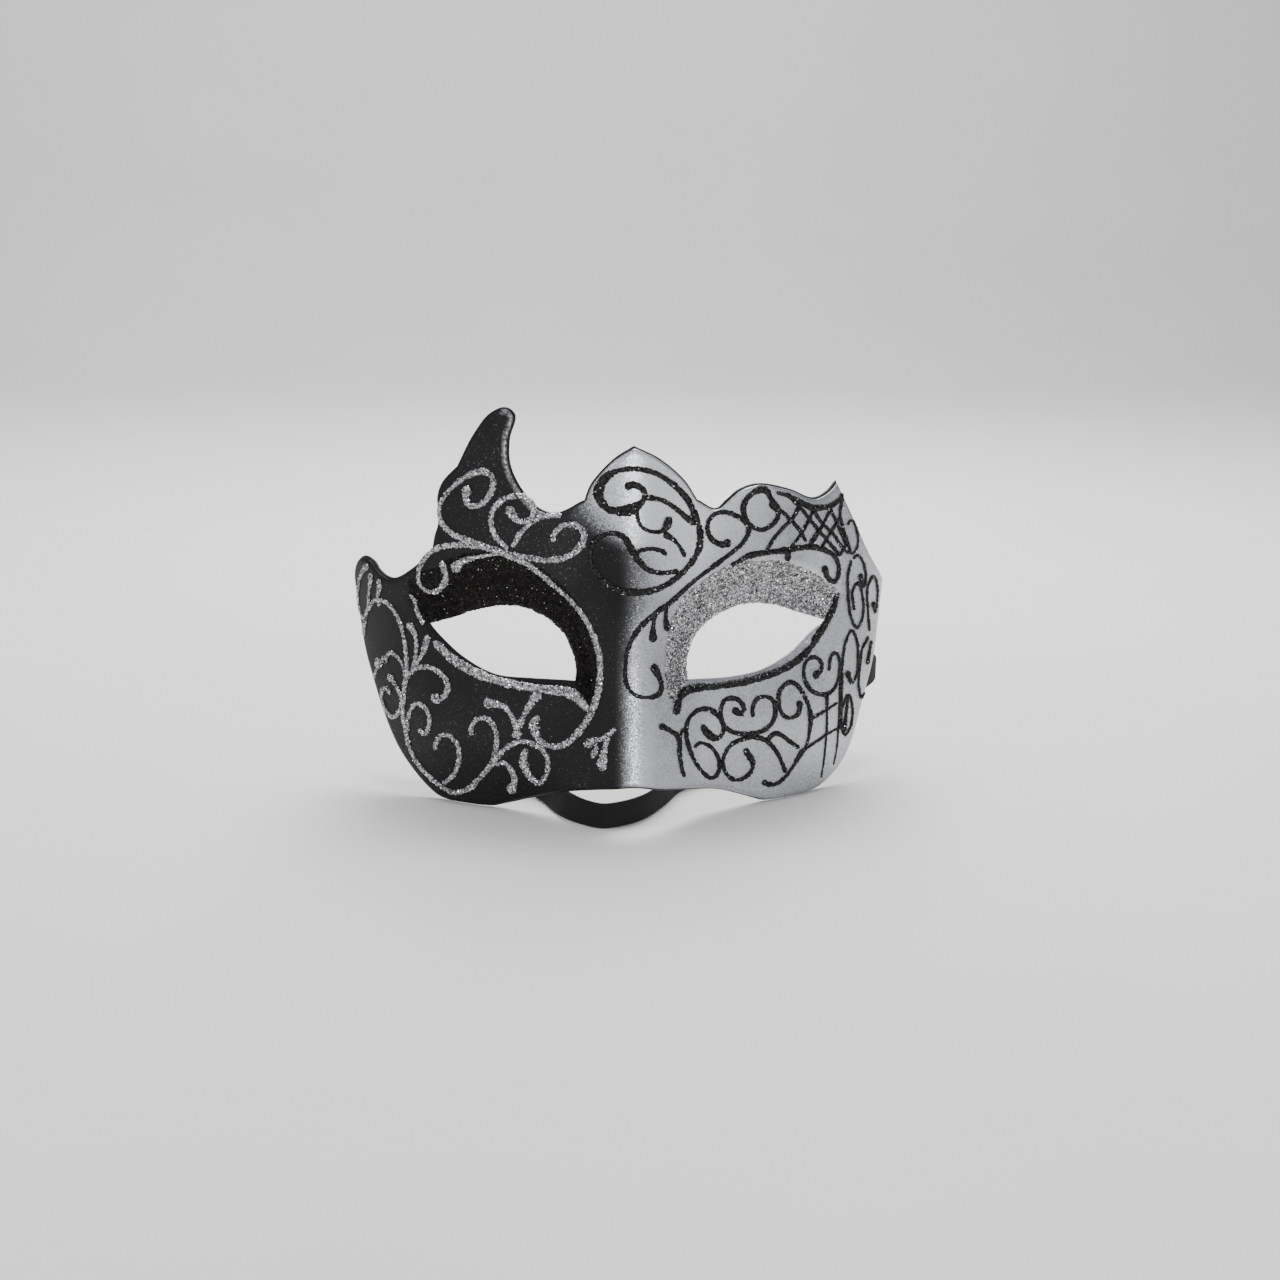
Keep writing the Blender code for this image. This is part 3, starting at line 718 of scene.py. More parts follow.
@dataclass(frozen=True)
class GlitterGlue:
    """Glue full of glitter flakes.

    sparkle is the share of bright flakes; their light colour is a painted glint.
    A flake's brightness comes from the mesh and from its cell, by mesh_share and cell_share.
    """

    name: str
    tone: GlitterTone
    sparkle: float
    fineness: float = 2300.0
    tilt: float = 1.0
    gloss: float = 1.0
    grey: tuple[float, float, float] = (0.020, 0.018, 0.015)
    mesh_share: float = 0.72
    cell_share: float = 0.28

    def make(self, shelf: GroupShelf) -> bpy.types.Material:
        """Build the material."""
        silver = self.tone is GlitterTone.SILVER
        mat, w, shader = open_material(self.name)
        cells = put_group(w, shelf.get("glitter"), Fineness=self.fineness, Tilt=self.tilt)
        chance = w.sums("ADD", w.sums("MULTIPLY", w.attribute("flake"), self.mesh_share),
                        w.sums("MULTIPLY", cells.outputs["Chance"], self.cell_share))
        if silver:
            low, mid, high = (0.070, 0.070, 0.073), (0.62, 0.62, 0.63), (0.98, 0.98, 0.99)
            steps = (0.18, 0.58)
        else:
            low, mid, high = (0.003, 0.003, 0.003), self.grey, (0.90, 0.92, 0.96)
            steps = (0.45, 0.90)
        # the flakes above this share get the high colour, a painted glint
        spark = 1.0 - math.sqrt(2.0 * self.mesh_share * self.cell_share * self.sparkle)
        first = w.blend(w.span(chance, *steps, 0.0, 1.0), low, mid)
        w.join(w.blend(w.span(chance, spark - 0.01, spark + 0.01, 0.0, 1.0), first, high),
               shader.inputs["Base Color"])
        shader.inputs["Metallic"].default_value = 0.75 if silver else 0.10
        shader.inputs["Specular IOR Level"].default_value = 0.5 if silver else 0.35 * self.gloss
        dull = 0.30 * (1.0 - self.gloss)
        smooth = 0.13 if silver else 0.22
        w.join(w.span(cells.outputs["Second"], 0.0, 1.0, smooth + dull, 0.45 + dull),
               shader.inputs["Roughness"])
        w.join(cells.outputs["Normal"], shader.inputs["Normal"])
        return mat


@dataclass(frozen=True)
class KnittedElastic:
    """Black knitted elastic with fine rows across and lighter fuzz."""

    yarn: tuple[float, float, float] = (0.0040, 0.0040, 0.0042)
    fuzz: tuple[float, float, float] = (0.0170, 0.0165, 0.0160)

    def make(self) -> bpy.types.Material:
        """Build the material."""
        mat, w, shader = open_material("knitted_elastic")
        across = w.attribute("across")
        along = w.attribute("along")
        rows = w.sums("SINE", w.sums("MULTIPLY", across, 2.0 * math.pi * 2100.0))
        loops = w.sums("SINE", w.sums("MULTIPLY", along, 2.0 * math.pi * 1900.0))
        weave = w.sums("MULTIPLY_ADD", w.sums("MULTIPLY", rows, loops), 0.35,
                       w.sums("MULTIPLY", rows, 0.35))
        hair = w.noise(w.place(), 5200.0, 4.0)
        share = w.span(w.sums("ADD", weave, hair), 0.35, 1.15, 0.0, 1.0)
        w.join(w.blend(share, self.yarn, self.fuzz), shader.inputs["Base Color"])
        w.join(w.span(hair, 0.2, 0.8, 0.72, 0.95), shader.inputs["Roughness"])
        shader.inputs["Specular IOR Level"].default_value = 0.20
        shader.inputs["Sheen Weight"].default_value = 0.05
        shader.inputs["Sheen Roughness"].default_value = 0.5
        height = w.sums("ADD", weave, w.sums("MULTIPLY", hair, 0.6))
        w.join(w.bump(height, 0.6, 0.0001), shader.inputs["Normal"])
        return mat


@dataclass(frozen=True)
class PaperBackdrop:
    """Plain pale paper for the floor and the sweep."""

    low: tuple[float, float, float] = (0.74, 0.735, 0.72)
    high: tuple[float, float, float] = (0.80, 0.795, 0.78)

    def make(self) -> bpy.types.Material:
        """Build the material."""
        mat, w, shader = open_material("pale_paper")
        tone = w.noise(w.place(), 9.0, 3.0)
        w.join(w.blend(tone, self.low, self.high), shader.inputs["Base Color"])
        w.join(w.span(tone, 0.3, 0.7, 0.82, 0.90), shader.inputs["Roughness"])
        return mat


# Meshes

@dataclass
class MeshPile:
    """Gathers points and faces, then makes one object of them."""

    points: list[Points] = field(default_factory=list)
    faces: list[tuple[int, ...]] = field(default_factory=list)
    values: dict[str, list[Points]] = field(default_factory=dict)
    slots: list[int] = field(default_factory=list)
    count: int = 0

    def add(self, points: Points, faces: list[tuple[int, ...]], slot: int = 0,
            **values: Points) -> None:
        """Add points with their faces and one number a point for each named value."""
        self.points.append(points)
        self.faces += [tuple(int(i) + self.count for i in f) for f in faces]
        self.slots += [slot] * len(faces)
        for name, item in values.items():
            self.values.setdefault(name, []).append(np.broadcast_to(item, len(points)))
        self.count += len(points)

    def make(self, name: str, mats: list[bpy.types.Material]) -> bpy.types.Object:
        """Make the object, smooth shaded."""
        mesh = bpy.data.meshes.new(name)
        mesh.from_pydata(np.concatenate(self.points).tolist(), [], self.faces)
        for label, items in self.values.items():
            layer = mesh.attributes.new(label, "FLOAT", "POINT")
            layer.data.foreach_set("value", np.concatenate(items).astype(np.float32))
        for mat in mats:
            mesh.materials.append(mat)
        mesh.polygons.foreach_set("material_index", self.slots)
        mesh.polygons.foreach_set("use_smooth", [True] * len(self.faces))
        mesh.update()
        obj = bpy.data.objects.new(name, mesh)
        bpy.context.scene.collection.objects.link(obj)
        return obj


def fill_sheet(loops: list[Points], field_pts: Points,
               holes: list[Points]) -> tuple[Points, list[tuple[int, ...]], list[list[int]]]:
    """Triangulate a flat region.

    Args:
        loops: closed edges that the triangles keep; the first bounds the region.
        field_pts: points between them.
        holes: the loops inside which nothing is kept.

    Returns:
        Points, faces, and the point numbers of each loop.
    """
    pts = np.concatenate(loops + [field_pts])
    edges = []
    runs = []
    start = 0
    for part in loops:
        ids = list(range(start, start + len(part)))
        runs.append(ids)
        edges += [(ids[i], ids[(i + 1) % len(ids)]) for i in range(len(ids))]
        start += len(part)
    made = delaunay_2d_cdt([Vector((p[0] * 1000.0, p[1] * 1000.0)) for p in pts],
                           edges, [], 0, 1e-5)
    verts = np.array([(v.x, v.y) for v in made[0]]) / 1000.0
    place = {}
    for new, olds in enumerate(made[3]):
        for old in olds:
            place[old] = new
    faces = [tuple(f) for f in made[2]]
    middle = np.array([verts[list(f)].mean(axis=0) for f in faces])
    keep = inside(loops[0], middle)
    for hole in holes:
        keep &= ~inside(hole, middle)
    faces = [f for f, k in zip(faces, keep) if k]
    return verts, faces, [[place[i] for i in ids] for ids in runs]


def grid_points(low: Points, high: Points, step: float) -> Points:
    """Points of a triangular grid over a box."""
    across = np.arange(low[0], high[0], step)
    level = np.arange(low[1], high[1], step * 0.866)
    return np.array([(a + 0.5 * step * (j % 2), u)
                     for j, u in enumerate(level) for a in across])


def grid_faces(rows: int, columns: int, closed: bool = False) -> list[tuple[int, ...]]:
    """Quads between rows of points; a closed grid joins each row's end to its start."""
    faces = []
    for row in range(rows - 1):
        for k in range(columns if closed else columns - 1):
            here, after = columns * row + k, columns * row + (k + 1) % columns
            faces.append((here, after, after + columns, here + columns))
    return faces


# Pieces

@dataclass
class MaskShell:
    """The moulded mask: a painted outer face, a rounded rim and a bare inside.

    The lids have the finer grid. Its overlap, and the gaps that the grids leave to
    the lids, the openings and the outer edge, are distances on the sheet.
    """

    form: ShellForm
    field_step: float = 0.0013
    lid_step: float = 0.0010
    lid_overlap: float = 0.001
    lid_gap: float = 0.0018
    eye_gap: float = 0.0017
    edge_gap: float = 0.0030
    edge_rings: tuple[float, ...] = (0.0005, 0.0010, 0.0016, 0.0023)
    eye_rings: tuple[float, ...] = (0.0010,)
    rim_steps: int = 6
    edge_spray: float = 0.04

    def __post_init__(self) -> None:
        """Lay out the sheet's points and faces."""
        form = self.form
        chosen = []
        for step, on_lid in ((self.field_step, False), (self.lid_step, True)):
            grid = grid_points((-1.05 * form.half_girth, 0.0),
                               (1.05 * form.half_girth, 1.02 * form.height), step)
            grid = grid[inside(form.outer, grid)]
            lid, close = inside_any(form.lids, grid), distance_to_any(form.lids, grid)
            finer, coarser = lid | (close < self.lid_overlap), ~lid & (close > self.lid_gap)
            grid = grid[finer if on_lid else coarser]
            room = distance_to_any(form.eyes, grid)
            room_at_edge = distance_to(form.outer, grid)
            chosen.append(grid[~inside_any(form.eyes, grid) & (room > self.eye_gap)
                               & (room_at_edge > self.edge_gap)])
        loops = [form.outer, *form.eyes]
        for loop, insets in zip(loops, (self.edge_rings, self.eye_rings, self.eye_rings)):
            away = self.away(loop)
            for inset in insets:
                ring = loop - inset * away
                chosen.append(ring[distance_to(loop, ring) > 0.93 * inset])
        self.sheet, self.faces, self.runs = fill_sheet(loops, np.concatenate(chosen), form.eyes)
        self.normal = form.normals(self.sheet)
        self.face = form.front(self.sheet)

    def away(self, loop: Points) -> Points:
        """Directions on the sheet that point away from the material at an edge."""
        x, y = loop[:, 0], loop[:, 1]
        area = 0.5 * np.sum(x * np.roll(y, -1) - np.roll(x, -1) * y)
        outer = loop is self.form.outer
        sign = 1.0 if (area < 0.0) == outer else -1.0
        return sign * left_of_travel(loop)

    def build(self, paint: bpy.types.Material, plastic: bpy.types.Material) -> bpy.types.Object:
        """Make the object; the outer edge keeps hardly any spray."""
        form = self.form
        face, back = self.face.copy(), self.face - form.wall * self.normal
        spray = form.spray(self.sheet) * form.reach_of_spray(self.sheet)
        # the horn's rim strip: partly silver spray, partly a painted highlight of the bevel
        rim = form.horn_rim_spray_and_highlight(self.sheet)
        loops = [form.outer, *form.eyes]
        edges = [self.round_edge(loop) for loop in loops]
        for ids, rows in zip(self.runs, edges):
            face[ids], back[ids] = rows[0], rows[-1]
        pile = MeshPile()
        count = len(face)
        pile.add(np.concatenate([face, back]), self.faces, spray=np.tile(spray, 2),
                 rim=np.concatenate([rim, 0.0 * rim]))
        inner = [tuple(i + count for i in reversed(f)) for f in self.faces]
        pile.faces += inner
        pile.slots += [1] * len(inner)
        for loop, ids, rows in zip(loops, self.runs, edges):
            kept = self.edge_spray if loop is form.outer else 1.0
            self.close_edge(pile, ids, rows[1:-1], kept * form.spray(loop), count)
        obj = pile.make("shell_sprayed", [paint, plastic])
        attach(obj, "root")
        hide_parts("mask_shell")
        return obj

    def round_edge(self, loop: Points) -> list[Points]:
        """Rows of points round the wall's edge, from the outer face to the inside."""
        form, half, away = self.form, 0.5 * self.form.wall, self.away(loop)
        out = unit(form.front(loop + 0.0003 * away) - form.front(loop - 0.0003 * away))
        normal = form.normals(loop)
        core = form.front(loop) - half * out - half * normal
        rows = []
        for k in range(self.rim_steps + 1):
            turn = math.pi * k / self.rim_steps
            at = core + half * (math.cos(turn) * normal + math.sin(turn) * out)
            at[:, 2] = np.maximum(at[:, 2], 0.0)
            rows.append(at)
        return rows

    def close_edge(self, pile: MeshPile, ids: list[int], ring: list[Points], spray: Points,
                   count: int) -> None:
        """Join the outer face to the inside round one loop.

        Args:
            pile: where the faces go.
            ids: the loop's point numbers on the outer face.
            ring: the rows of points between the two faces.
            spray: the silver on each point of a row.
            count: by how much the inside's point numbers are higher.
        """
        start, n = pile.count, len(ids)
        rows = [ids] + [list(range(start + n * k, start + n * (k + 1)))
                        for k in range(len(ring))] + [[i + count for i in ids]]
        pile.add(np.concatenate(ring), [], spray=np.tile(spray, len(ring)), rim=0.0)
        front_first = self.turns_outwards(pile, rows)
        for k in range(len(rows) - 1):
            for i in range(n):
                j = (i + 1) % n
                quad = (rows[k][i], rows[k][j], rows[k + 1][j], rows[k + 1][i])
                pile.faces.append(quad if front_first else quad[::-1])
                pile.slots.append(0 if k < len(rows) - 2 else 1)

    def turns_outwards(self, pile: MeshPile, rows: list[list[int]]) -> bool:
        """Tell whether a rim quad taken in row order faces away from the wall."""
        pts = np.concatenate(pile.points)
        a, b, c = pts[rows[2][0]], pts[rows[2][1]], pts[rows[3][0]]
        core = 0.5 * (pts[rows[0][0]] + pts[rows[-1][0]])
        return float(np.dot(np.cross(b - a, c - a), a - core)) > 0.0

    def landing(self, view: PictureView) -> Landing:
        """Return the finder of picture pixels on the outer face."""
        return Landing(view, self.sheet, self.faces, self.face)


# How far a glue line's edge lies under the paint, how far a flake stands off the
# glue, and the highest brightness of the glue between its flakes.
GLUE_SINK = 0.00006
FLAKE_LIFT = 0.00004
SKIN_CHANCE = 0.6


def scatter_flakes(pile: MeshPile, places: Points, normals: Points, size: float, lean: float,
                   rng: np.random.Generator) -> None:
    """Add small tilted flakes.

    Args:
        pile: where the flakes go.
        places: their middles.
        normals: the surface's directions there.
        size: the usual side of a flake.
        lean: how far a flake may tilt, as a share of its size.
        rng: the seeded source of chance.
    """
    count = len(places)
    aside = unit(np.cross(normals, rng.normal(size=(count, 3))))
    tilted = unit(normals + lean * rng.normal(size=(count, 3)))
    first = unit(np.cross(tilted, aside))
    second = np.cross(tilted, first)
    sides = size * (0.35 + 0.25 * rng.random(count))[:, None]
    corners = [places + sides * (a * first + b * second)
               for a, b in ((1, 0.1), (0.1, 1), (-1, -0.1), (-0.1, -1))]
    points = np.stack(corners, axis=1).reshape(-1, 3)
    faces = [(4 * i, 4 * i + 1, 4 * i + 2, 4 * i + 3) for i in range(count)]
    pile.add(points, faces, flake=np.repeat(rng.random(count), 4))


@dataclass
class LidGlitter:
    """A crumbly skin of glitter glue on one lid, between the opening and a drawn border."""

    name: str
    form: ShellForm
    border: tuple[tuple[float, float], ...]
    mirror: bool
    seed: int
    skin: float = 0.00026
    step: float = 0.0007
    flakes: int = 9000
    flake_size: float = 0.00050

    def region(self, landing: Landing) -> Points:
        """The closed edge of the skin on the sheet, picture border first."""
        drawn = landing.locate(np.array(self.border, float))
        drawn = smooth_curve(drawn, [False] * len(drawn), 0.0006, False)
        side = -1.0 if self.mirror else 1.0
        opening = LEFT_OPENING if self.mirror else RIGHT_OPENING
        rim = np.array([(side * a * self.form.half_girth, u * self.form.height)
                        for a, u, _ in opening[:8]])
        rim = smooth_curve(rim, [False] * len(rim), 0.0006, False)
        if np.linalg.norm(drawn[-1] - rim[-1]) > np.linalg.norm(drawn[-1] - rim[0]):
            rim = rim[::-1]
        return np.concatenate([drawn, rim[::-1]])

    def build(self, landing: Landing, mat: bpy.types.Material) -> bpy.types.Object:
        """Make the object."""
        rng = np.random.default_rng(self.seed)
        loop = self.region(landing)
        crumb = rng.normal(size=(len(loop), 1))
        crumb = 0.5 * crumb + 0.5 * np.roll(crumb, 1, axis=0)
        loop = loop + 0.00022 * crumb * left_of_travel(loop)
        eye = self.form.eyes[1 if self.mirror else 0]
        grid = grid_points(loop.min(axis=0), loop.max(axis=0), self.step)
        grid = grid[inside(loop, grid) & ~inside(eye, grid)]
        grid = grid[(distance_to(loop, grid) > 0.45 * self.step)
                    & (distance_to(eye, grid) > 0.35 * self.step)]
        sheet, faces, _ = fill_sheet([loop], grid, [eye])
        normal = self.form.normals(sheet)
        edge = np.minimum(distance_to(loop, sheet), distance_to(eye, sheet) + 0.0002)
        lift = self.skin * np.sqrt(np.clip(edge / 0.0007, 0.0, 1.0))
        lift = lift * (0.75 + 0.5 * rng.random(len(sheet))) - 0.00004
        face = self.form.front(sheet) + lift[:, None] * normal
        pile = MeshPile()
        pile.add(face, faces, flake=SKIN_CHANCE * rng.random(len(face)))
        spots = self.chance_spots(loop, eye, rng)
        height = self.skin * np.sqrt(np.clip(distance_to(loop, spots) / 0.0007, 0.15, 1.0))
        dirs = self.form.normals(spots)
        scatter_flakes(pile, self.form.front(spots) + (height + 0.00005)[:, None] * dirs,
                       dirs, self.flake_size, 0.45, rng)
        obj = pile.make(self.name, [mat])
        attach(obj, "root")
        return obj

    def chance_spots(self, loop: Points, eye: Points, rng: np.random.Generator) -> Points:
        """Scattered places on the skin."""
        low, high = loop.min(axis=0), loop.max(axis=0)
        spots = low + rng.random((6 * self.flakes, 2)) * (high - low)
        spots = spots[inside(loop, spots) & ~inside(eye, spots)]
        return spots[:self.flakes]


@dataclass(frozen=True)
class Stroke:
    """One line of glitter glue, drawn by the picture's pixels.

    route: the line's points, a third number is the width there in mm; width: the
    width in mm where a point has none; dots: the radius in mm of the blob at its
    start and at its end, 0 for a plain end.
    """

    route: tuple[tuple[float, ...], ...]
    width: float = 1.4
    dots: tuple[float, float] = (0.0, 0.0)

    def on_sheet(self, landing: Landing, step: float) -> Points:
        """Sample the line as around, up and half width, all in metres.

        A width goes through the curve at a tenth of its size, so that it hardly
        counts in the curve's run.
        """
        places = landing.locate(np.array([point[:2] for point in self.route], float))
        widths = [point[2] if len(point) > 2 else self.width for point in self.route]
        rows = np.column_stack([places, 0.0001 * np.array(widths)])
        line = smooth_curve(rows, [False] * len(rows), step, False)
        line[:, 2] = np.maximum(5.0 * line[:, 2], 0.0002)
        return line


@dataclass
class ScrollWork:
    """The glitter glue lines on one half of the mask."""

    name: str
    form: ShellForm
    strokes: tuple[Stroke, ...]
    seed: int
    step: float = 0.00045
    flake_size: float = 0.00058
    flakes_per_mm: float = 5.5
    fullness: float = 1.0

    def build(self, landing: Landing, mat: bpy.types.Material) -> bpy.types.Object:
        """Make the object."""
        rng = np.random.default_rng(self.seed)
        pile = MeshPile()
        arcs = np.radians([0.0, 26.0, 58.0, 90.0, 122.0, 154.0, 180.0])
        for stroke in self.strokes:
            line = stroke.on_sheet(landing, self.step)
            if len(line) < 4:
                continue
            self.add_bead(pile, line, stroke, arcs, rng)
            for end, radius in ((0, stroke.dots[0]), (-1, stroke.dots[1])):
                if radius > 0.0:
                    self.add_dot(pile, line[end, :2], 0.001 * radius * self.fullness, rng)
        LOG.info("%s: %d points of glue", self.name, pile.count)
        obj = pile.make(self.name, [mat])
        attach(obj, "root")
        return obj

    def add_bead(self, pile: MeshPile, line: Points, stroke: Stroke, arcs: Points,
                 rng: np.random.Generator) -> None:
        """Add a half-round bead along a line of the sheet."""
        count = len(line)
        half = self.fullness * line[:, 2]
        line = line[:, :2]
        tips = (half[0], half[-1])
        aside = left_of_travel(line, closed=False)
        along = np.arange(count) * self.step
        left = along[-1] - along
        knots = max(4, int(along[-1] / 0.0016))
        wave = np.interp(along, np.linspace(0.0, along[-1], knots), rng.normal(size=knots))
        half = half * (1.0 + 0.08 * wave)
        for run, dot, tip in zip((along, left), stroke.dots, tips):
            if dot == 0.0:
                taper = np.clip((run + 0.0001) / max(tip, 0.0005), 0.0, 1.0)
                half = half * np.sqrt(taper * (2.0 - taper))
        high = self.bead_height(half)
        crumb = 1.0 + 0.15 * rng.normal(size=(count, len(arcs)))
        out = half[:, None] * np.cos(arcs) * crumb
        rows = line[:, None, :] + out[:, :, None] * aside[:, None]
        lift = high[:, None] * np.sin(arcs) * (1.0 + 0.14 * rng.normal(size=crumb.shape))
        lift[:, [0, -1]] = -GLUE_SINK
        flat = rows.reshape(-1, 2)
        normal = self.form.normals(flat)
        points = self.form.front(flat) + lift.reshape(-1, 1) * normal
        pile.add(points, grid_faces(count, len(arcs)), flake=SKIN_CHANCE * rng.random(len(points)))
        wanted = int(self.flakes_per_mm * along[-1] * 1000.0 * float(half.mean()) / 0.0007)
        picks = rng.choice(count, wanted, p=half / half.sum())
        turn = np.radians(20.0 + 140.0 * rng.random(wanted))
        spots = line[picks] + (half[picks] * np.cos(turn))[:, None] * aside[picks]
        dirs = self.form.normals(spots)
        up = (high[picks] * np.sin(turn) + FLAKE_LIFT)[:, None]
        places = self.form.front(spots) + up * dirs
        scatter_flakes(pile, places, dirs, self.flake_size, 0.55, rng)

    def bead_height(self, half: Points) -> Points:
        """Height of the glue for its half width; wide glue settles flatter."""
        return 0.95 * half / np.sqrt(1.0 + (half / 0.0011) ** 2)

    def add_dot(self, pile: MeshPile, centre: Points, radius: float,
                rng: np.random.Generator) -> None:
        """Add the round blob that the nozzle leaves at a line's end."""
        around, rings = 16, 5
        top_height = 0.92 * float(self.bead_height(np.array([radius]))[0])
        turns = 2.0 * math.pi * np.arange(around) / around
        flat, lift = [], []
        for k in range(rings):
            out = math.cos(0.5 * math.pi * k / rings)
            wobble = 1.0 + 0.07 * rng.normal(size=around)
            flat.append(centre + radius * out * wobble[:, None]
                        * np.stack([np.cos(turns), np.sin(turns)], axis=1))
            high = top_height * math.sin(0.5 * math.pi * k / rings)
            sink = GLUE_SINK if k == 0 else 0.0
            lift.append(high * (1.0 + 0.06 * rng.normal(size=around)) - sink)
        flat.append(centre[None, :])
        lift.append(np.array([top_height]))
        flat, lift = np.concatenate(flat), np.concatenate(lift)
        normal = self.form.normals(flat)
        points = self.form.front(flat) + lift[:, None] * normal
        faces = grid_faces(rings, around, closed=True)
        last, top = (rings - 1) * around, rings * around
        faces += [(last + i, last + (i + 1) % around, top) for i in range(around)]
        pile.add(points, faces, flake=SKIN_CHANCE * rng.random(len(points)))
        wanted = int(9 * (radius * 1000.0) ** 2 * 3.1)
        angle, share = 2.0 * math.pi * rng.random(wanted), np.sqrt(rng.random(wanted))
        spots = centre + radius * share[:, None] * np.stack([np.cos(angle), np.sin(angle)], axis=1)
        dirs = self.form.normals(spots)
        up = top_height * np.sqrt(1.0 - share ** 2) + FLAKE_LIFT
        scatter_flakes(pile, self.form.front(spots) + up[:, None] * dirs, dirs,
                       self.flake_size, 0.55, rng)


@dataclass
class ElasticBand:
    """The flat knitted elastic, from wing to wing, with a loop out under the nose.

    route: x, y and z in mm, and the share of a right angle by which the upper edge
    falls into the loop. lies: how long the band lies flat on the wing at its start
    and at its end. fixed_at: where its ends lie on the sheet, around and up.
    """

    form: ShellForm
    width: float = 0.0078
    thick: float = 0.0012
    rib: float = 0.00062
    lies: tuple[float, float] = (0.018, 0.0075)
    fixed_at: tuple[float, float] = (0.0851, 0.0310)
    columns: int = 13
    floor_gap: float = 0.0001
    route: tuple[tuple[float, float, float, float], ...] = (
        # along the right wing and round its bend
        (70.2, 13.5, 30.9, 0.0), (73.9, 17.7, 30.9, 0.0), (77.4, 23.7, 29.9, 0.0),
        (83.6, 34.1, 29.9, 0.0), (84.3, 38.8, 29.9, 0.0), (81.4, 42.6, 29.9, 0.0),
        (76.7, 43.3, 29.9, 0.0), (72.6, 39.9, 29.9, 0.0),
        # down to the floor
        (62.5, 26.9, 26.7, 0.0), (51.7, 19.0, 16.7, 0.0), (39.1, 12.8, 7.5, 0.0),
        # out under the nose
        (25.6, 9.8, 4.0, 0.0), (16.6, 3.0, 4.0, 0.0), (9.9, -9.5, 4.0, 0.0),
        (3.0, -20.1, 4.0, 0.0), (-3.6, -25.3, 4.0, 0.0), (-9.9, -27.2, 4.0, 0.0),
        (-15.8, -23.3, 4.0, 0.10), (-20.3, -16.6, 4.0, 0.27), (-27.5, -0.4, 4.0, 0.20),
        # up to the left wing
        (-39.2, 9.8, 7.5, 0.05), (-50.9, 16.1, 16.7, 0.0), (-60.8, 23.3, 26.4, 0.0),
        (-64.0, 25.5, 30.9, 0.0), (-67.8, 29.2, 30.9, 0.0), (-72.5, 29.0, 30.9, 0.0),
        (-75.7, 25.5, 30.9, 0.0), (-75.5, 20.7, 30.9, 0.0), (-74.2, 17.9, 30.9, 0.0),
        (-73.0, 15.5, 30.9, 0.0), (-71.2, 13.5, 30.9, 0.0),
    )

    def middle_line(self) -> tuple[Points, Points]:
        """The band's middle line and its lean, two samples for each rib.

        The lean goes through the curve small, so that it hardly counts in its run.
        """
        pts = np.array(self.route) * [0.001, 0.001, 0.001, 0.01]
        line = smooth_curve(pts, [False] * len(pts), 0.5 * self.rib, False, 60)
        lean = np.clip(line[:, 3], 0.0, None) * 100.0 * math.radians(90.0)
        stand = 0.5 * (self.width * np.cos(lean) + self.thick * np.sin(lean))
        low = line[:, 2] + stand - 0.5 * self.width
        line[:, 2] = np.maximum(low, stand + self.floor_gap)
        return line[:, :3], lean

    def flat_side(self, ahead: Points, lean: Points, run: Points) -> Points:
        """Directions across the band's flat; at both ends it lies against the wing."""
        flat = unit(np.cross(ahead, [0.0, 0.0, 1.0]))
        flat = np.cos(lean)[:, None] * flat - np.sin(lean)[:, None] * np.cross(flat, ahead)
        around, up = self.fixed_at
        outs = self.form.normals(np.array([[around, up], [-around, up]]))
        for along, out, lie in zip((run, run[-1] - run), outs, self.lies):
            hold = np.clip(1.5 - along / lie, 0.0, 1.0)[:, None]
            rolled = unit(out - np.sum(out * ahead, axis=1)[:, None] * ahead)
            flat = unit((1.0 - hold) * flat + hold * rolled)
        return flat

    def skin(self, line: Points, lean: Points, run: Points,
             outline: list[tuple[float, float]]) -> Points:
        """Points of the ribbed surface.

        Args:
            line: the middle line.
            lean: how far the band leans at each of its samples.
            run: the length of the line up to each sample.
            outline: the section's points, as shares of half the width and thickness.

        Returns:
            The outline's points for each sample in turn.
        """
        ahead = unit(np.gradient(line, axis=0))
        flat = self.flat_side(ahead, lean, run)
        tall = np.cross(flat, ahead)
        half_w, half_t = 0.5 * self.width, 0.5 * self.thick
        odd = (np.arange(len(line)) % 2).astype(float)
        points = []
        for s, t in outline:
            edge = max(0.0, abs(s) - 0.93) / 0.07
            deep = half_t * (0.80 + 0.12 * odd - 0.45 * edge) * t
            tooth = half_w * s * (1.0 - (0.028 if abs(s) > 0.99 else 0.0) * odd)
            points.append(line + tooth[:, None] * tall + deep[:, None] * flat)
        points = np.stack(points, axis=1).reshape(-1, 3)
        points[:, 2] = np.maximum(points[:, 2], 0.00005)
        return points

    def build(self, mat: bpy.types.Material) -> bpy.types.Object:
        line, lean = self.middle_line()
        step = np.linalg.norm(np.diff(line, axis=0), axis=1)
        run = np.concatenate([[0.0], np.cumsum(step)])
        shares = np.linspace(-1.0, 1.0, self.columns)
        outline = [(s, 1.0) for s in shares] + [(s, -1.0) for s in shares[::-1]]
        count = len(outline)
        points = self.skin(line, lean, run, outline)
        faces = grid_faces(len(line), count, closed=True)
        last = count * (len(line) - 1)
        faces += [tuple(range(count))[::-1], tuple(last + k for k in range(count))]
        across = np.tile([0.5 * self.width * s for s, _ in outline], len(line))
        pile = MeshPile()
        pile.add(points, faces, across=across, along=np.repeat(run, count))
        obj = pile.make("elastic_knitted", [mat])
        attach(obj, "root")
        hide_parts("elastic_band")
        LOG.info("elastic: %.1f mm long", 1000.0 * run[-1])
        return obj


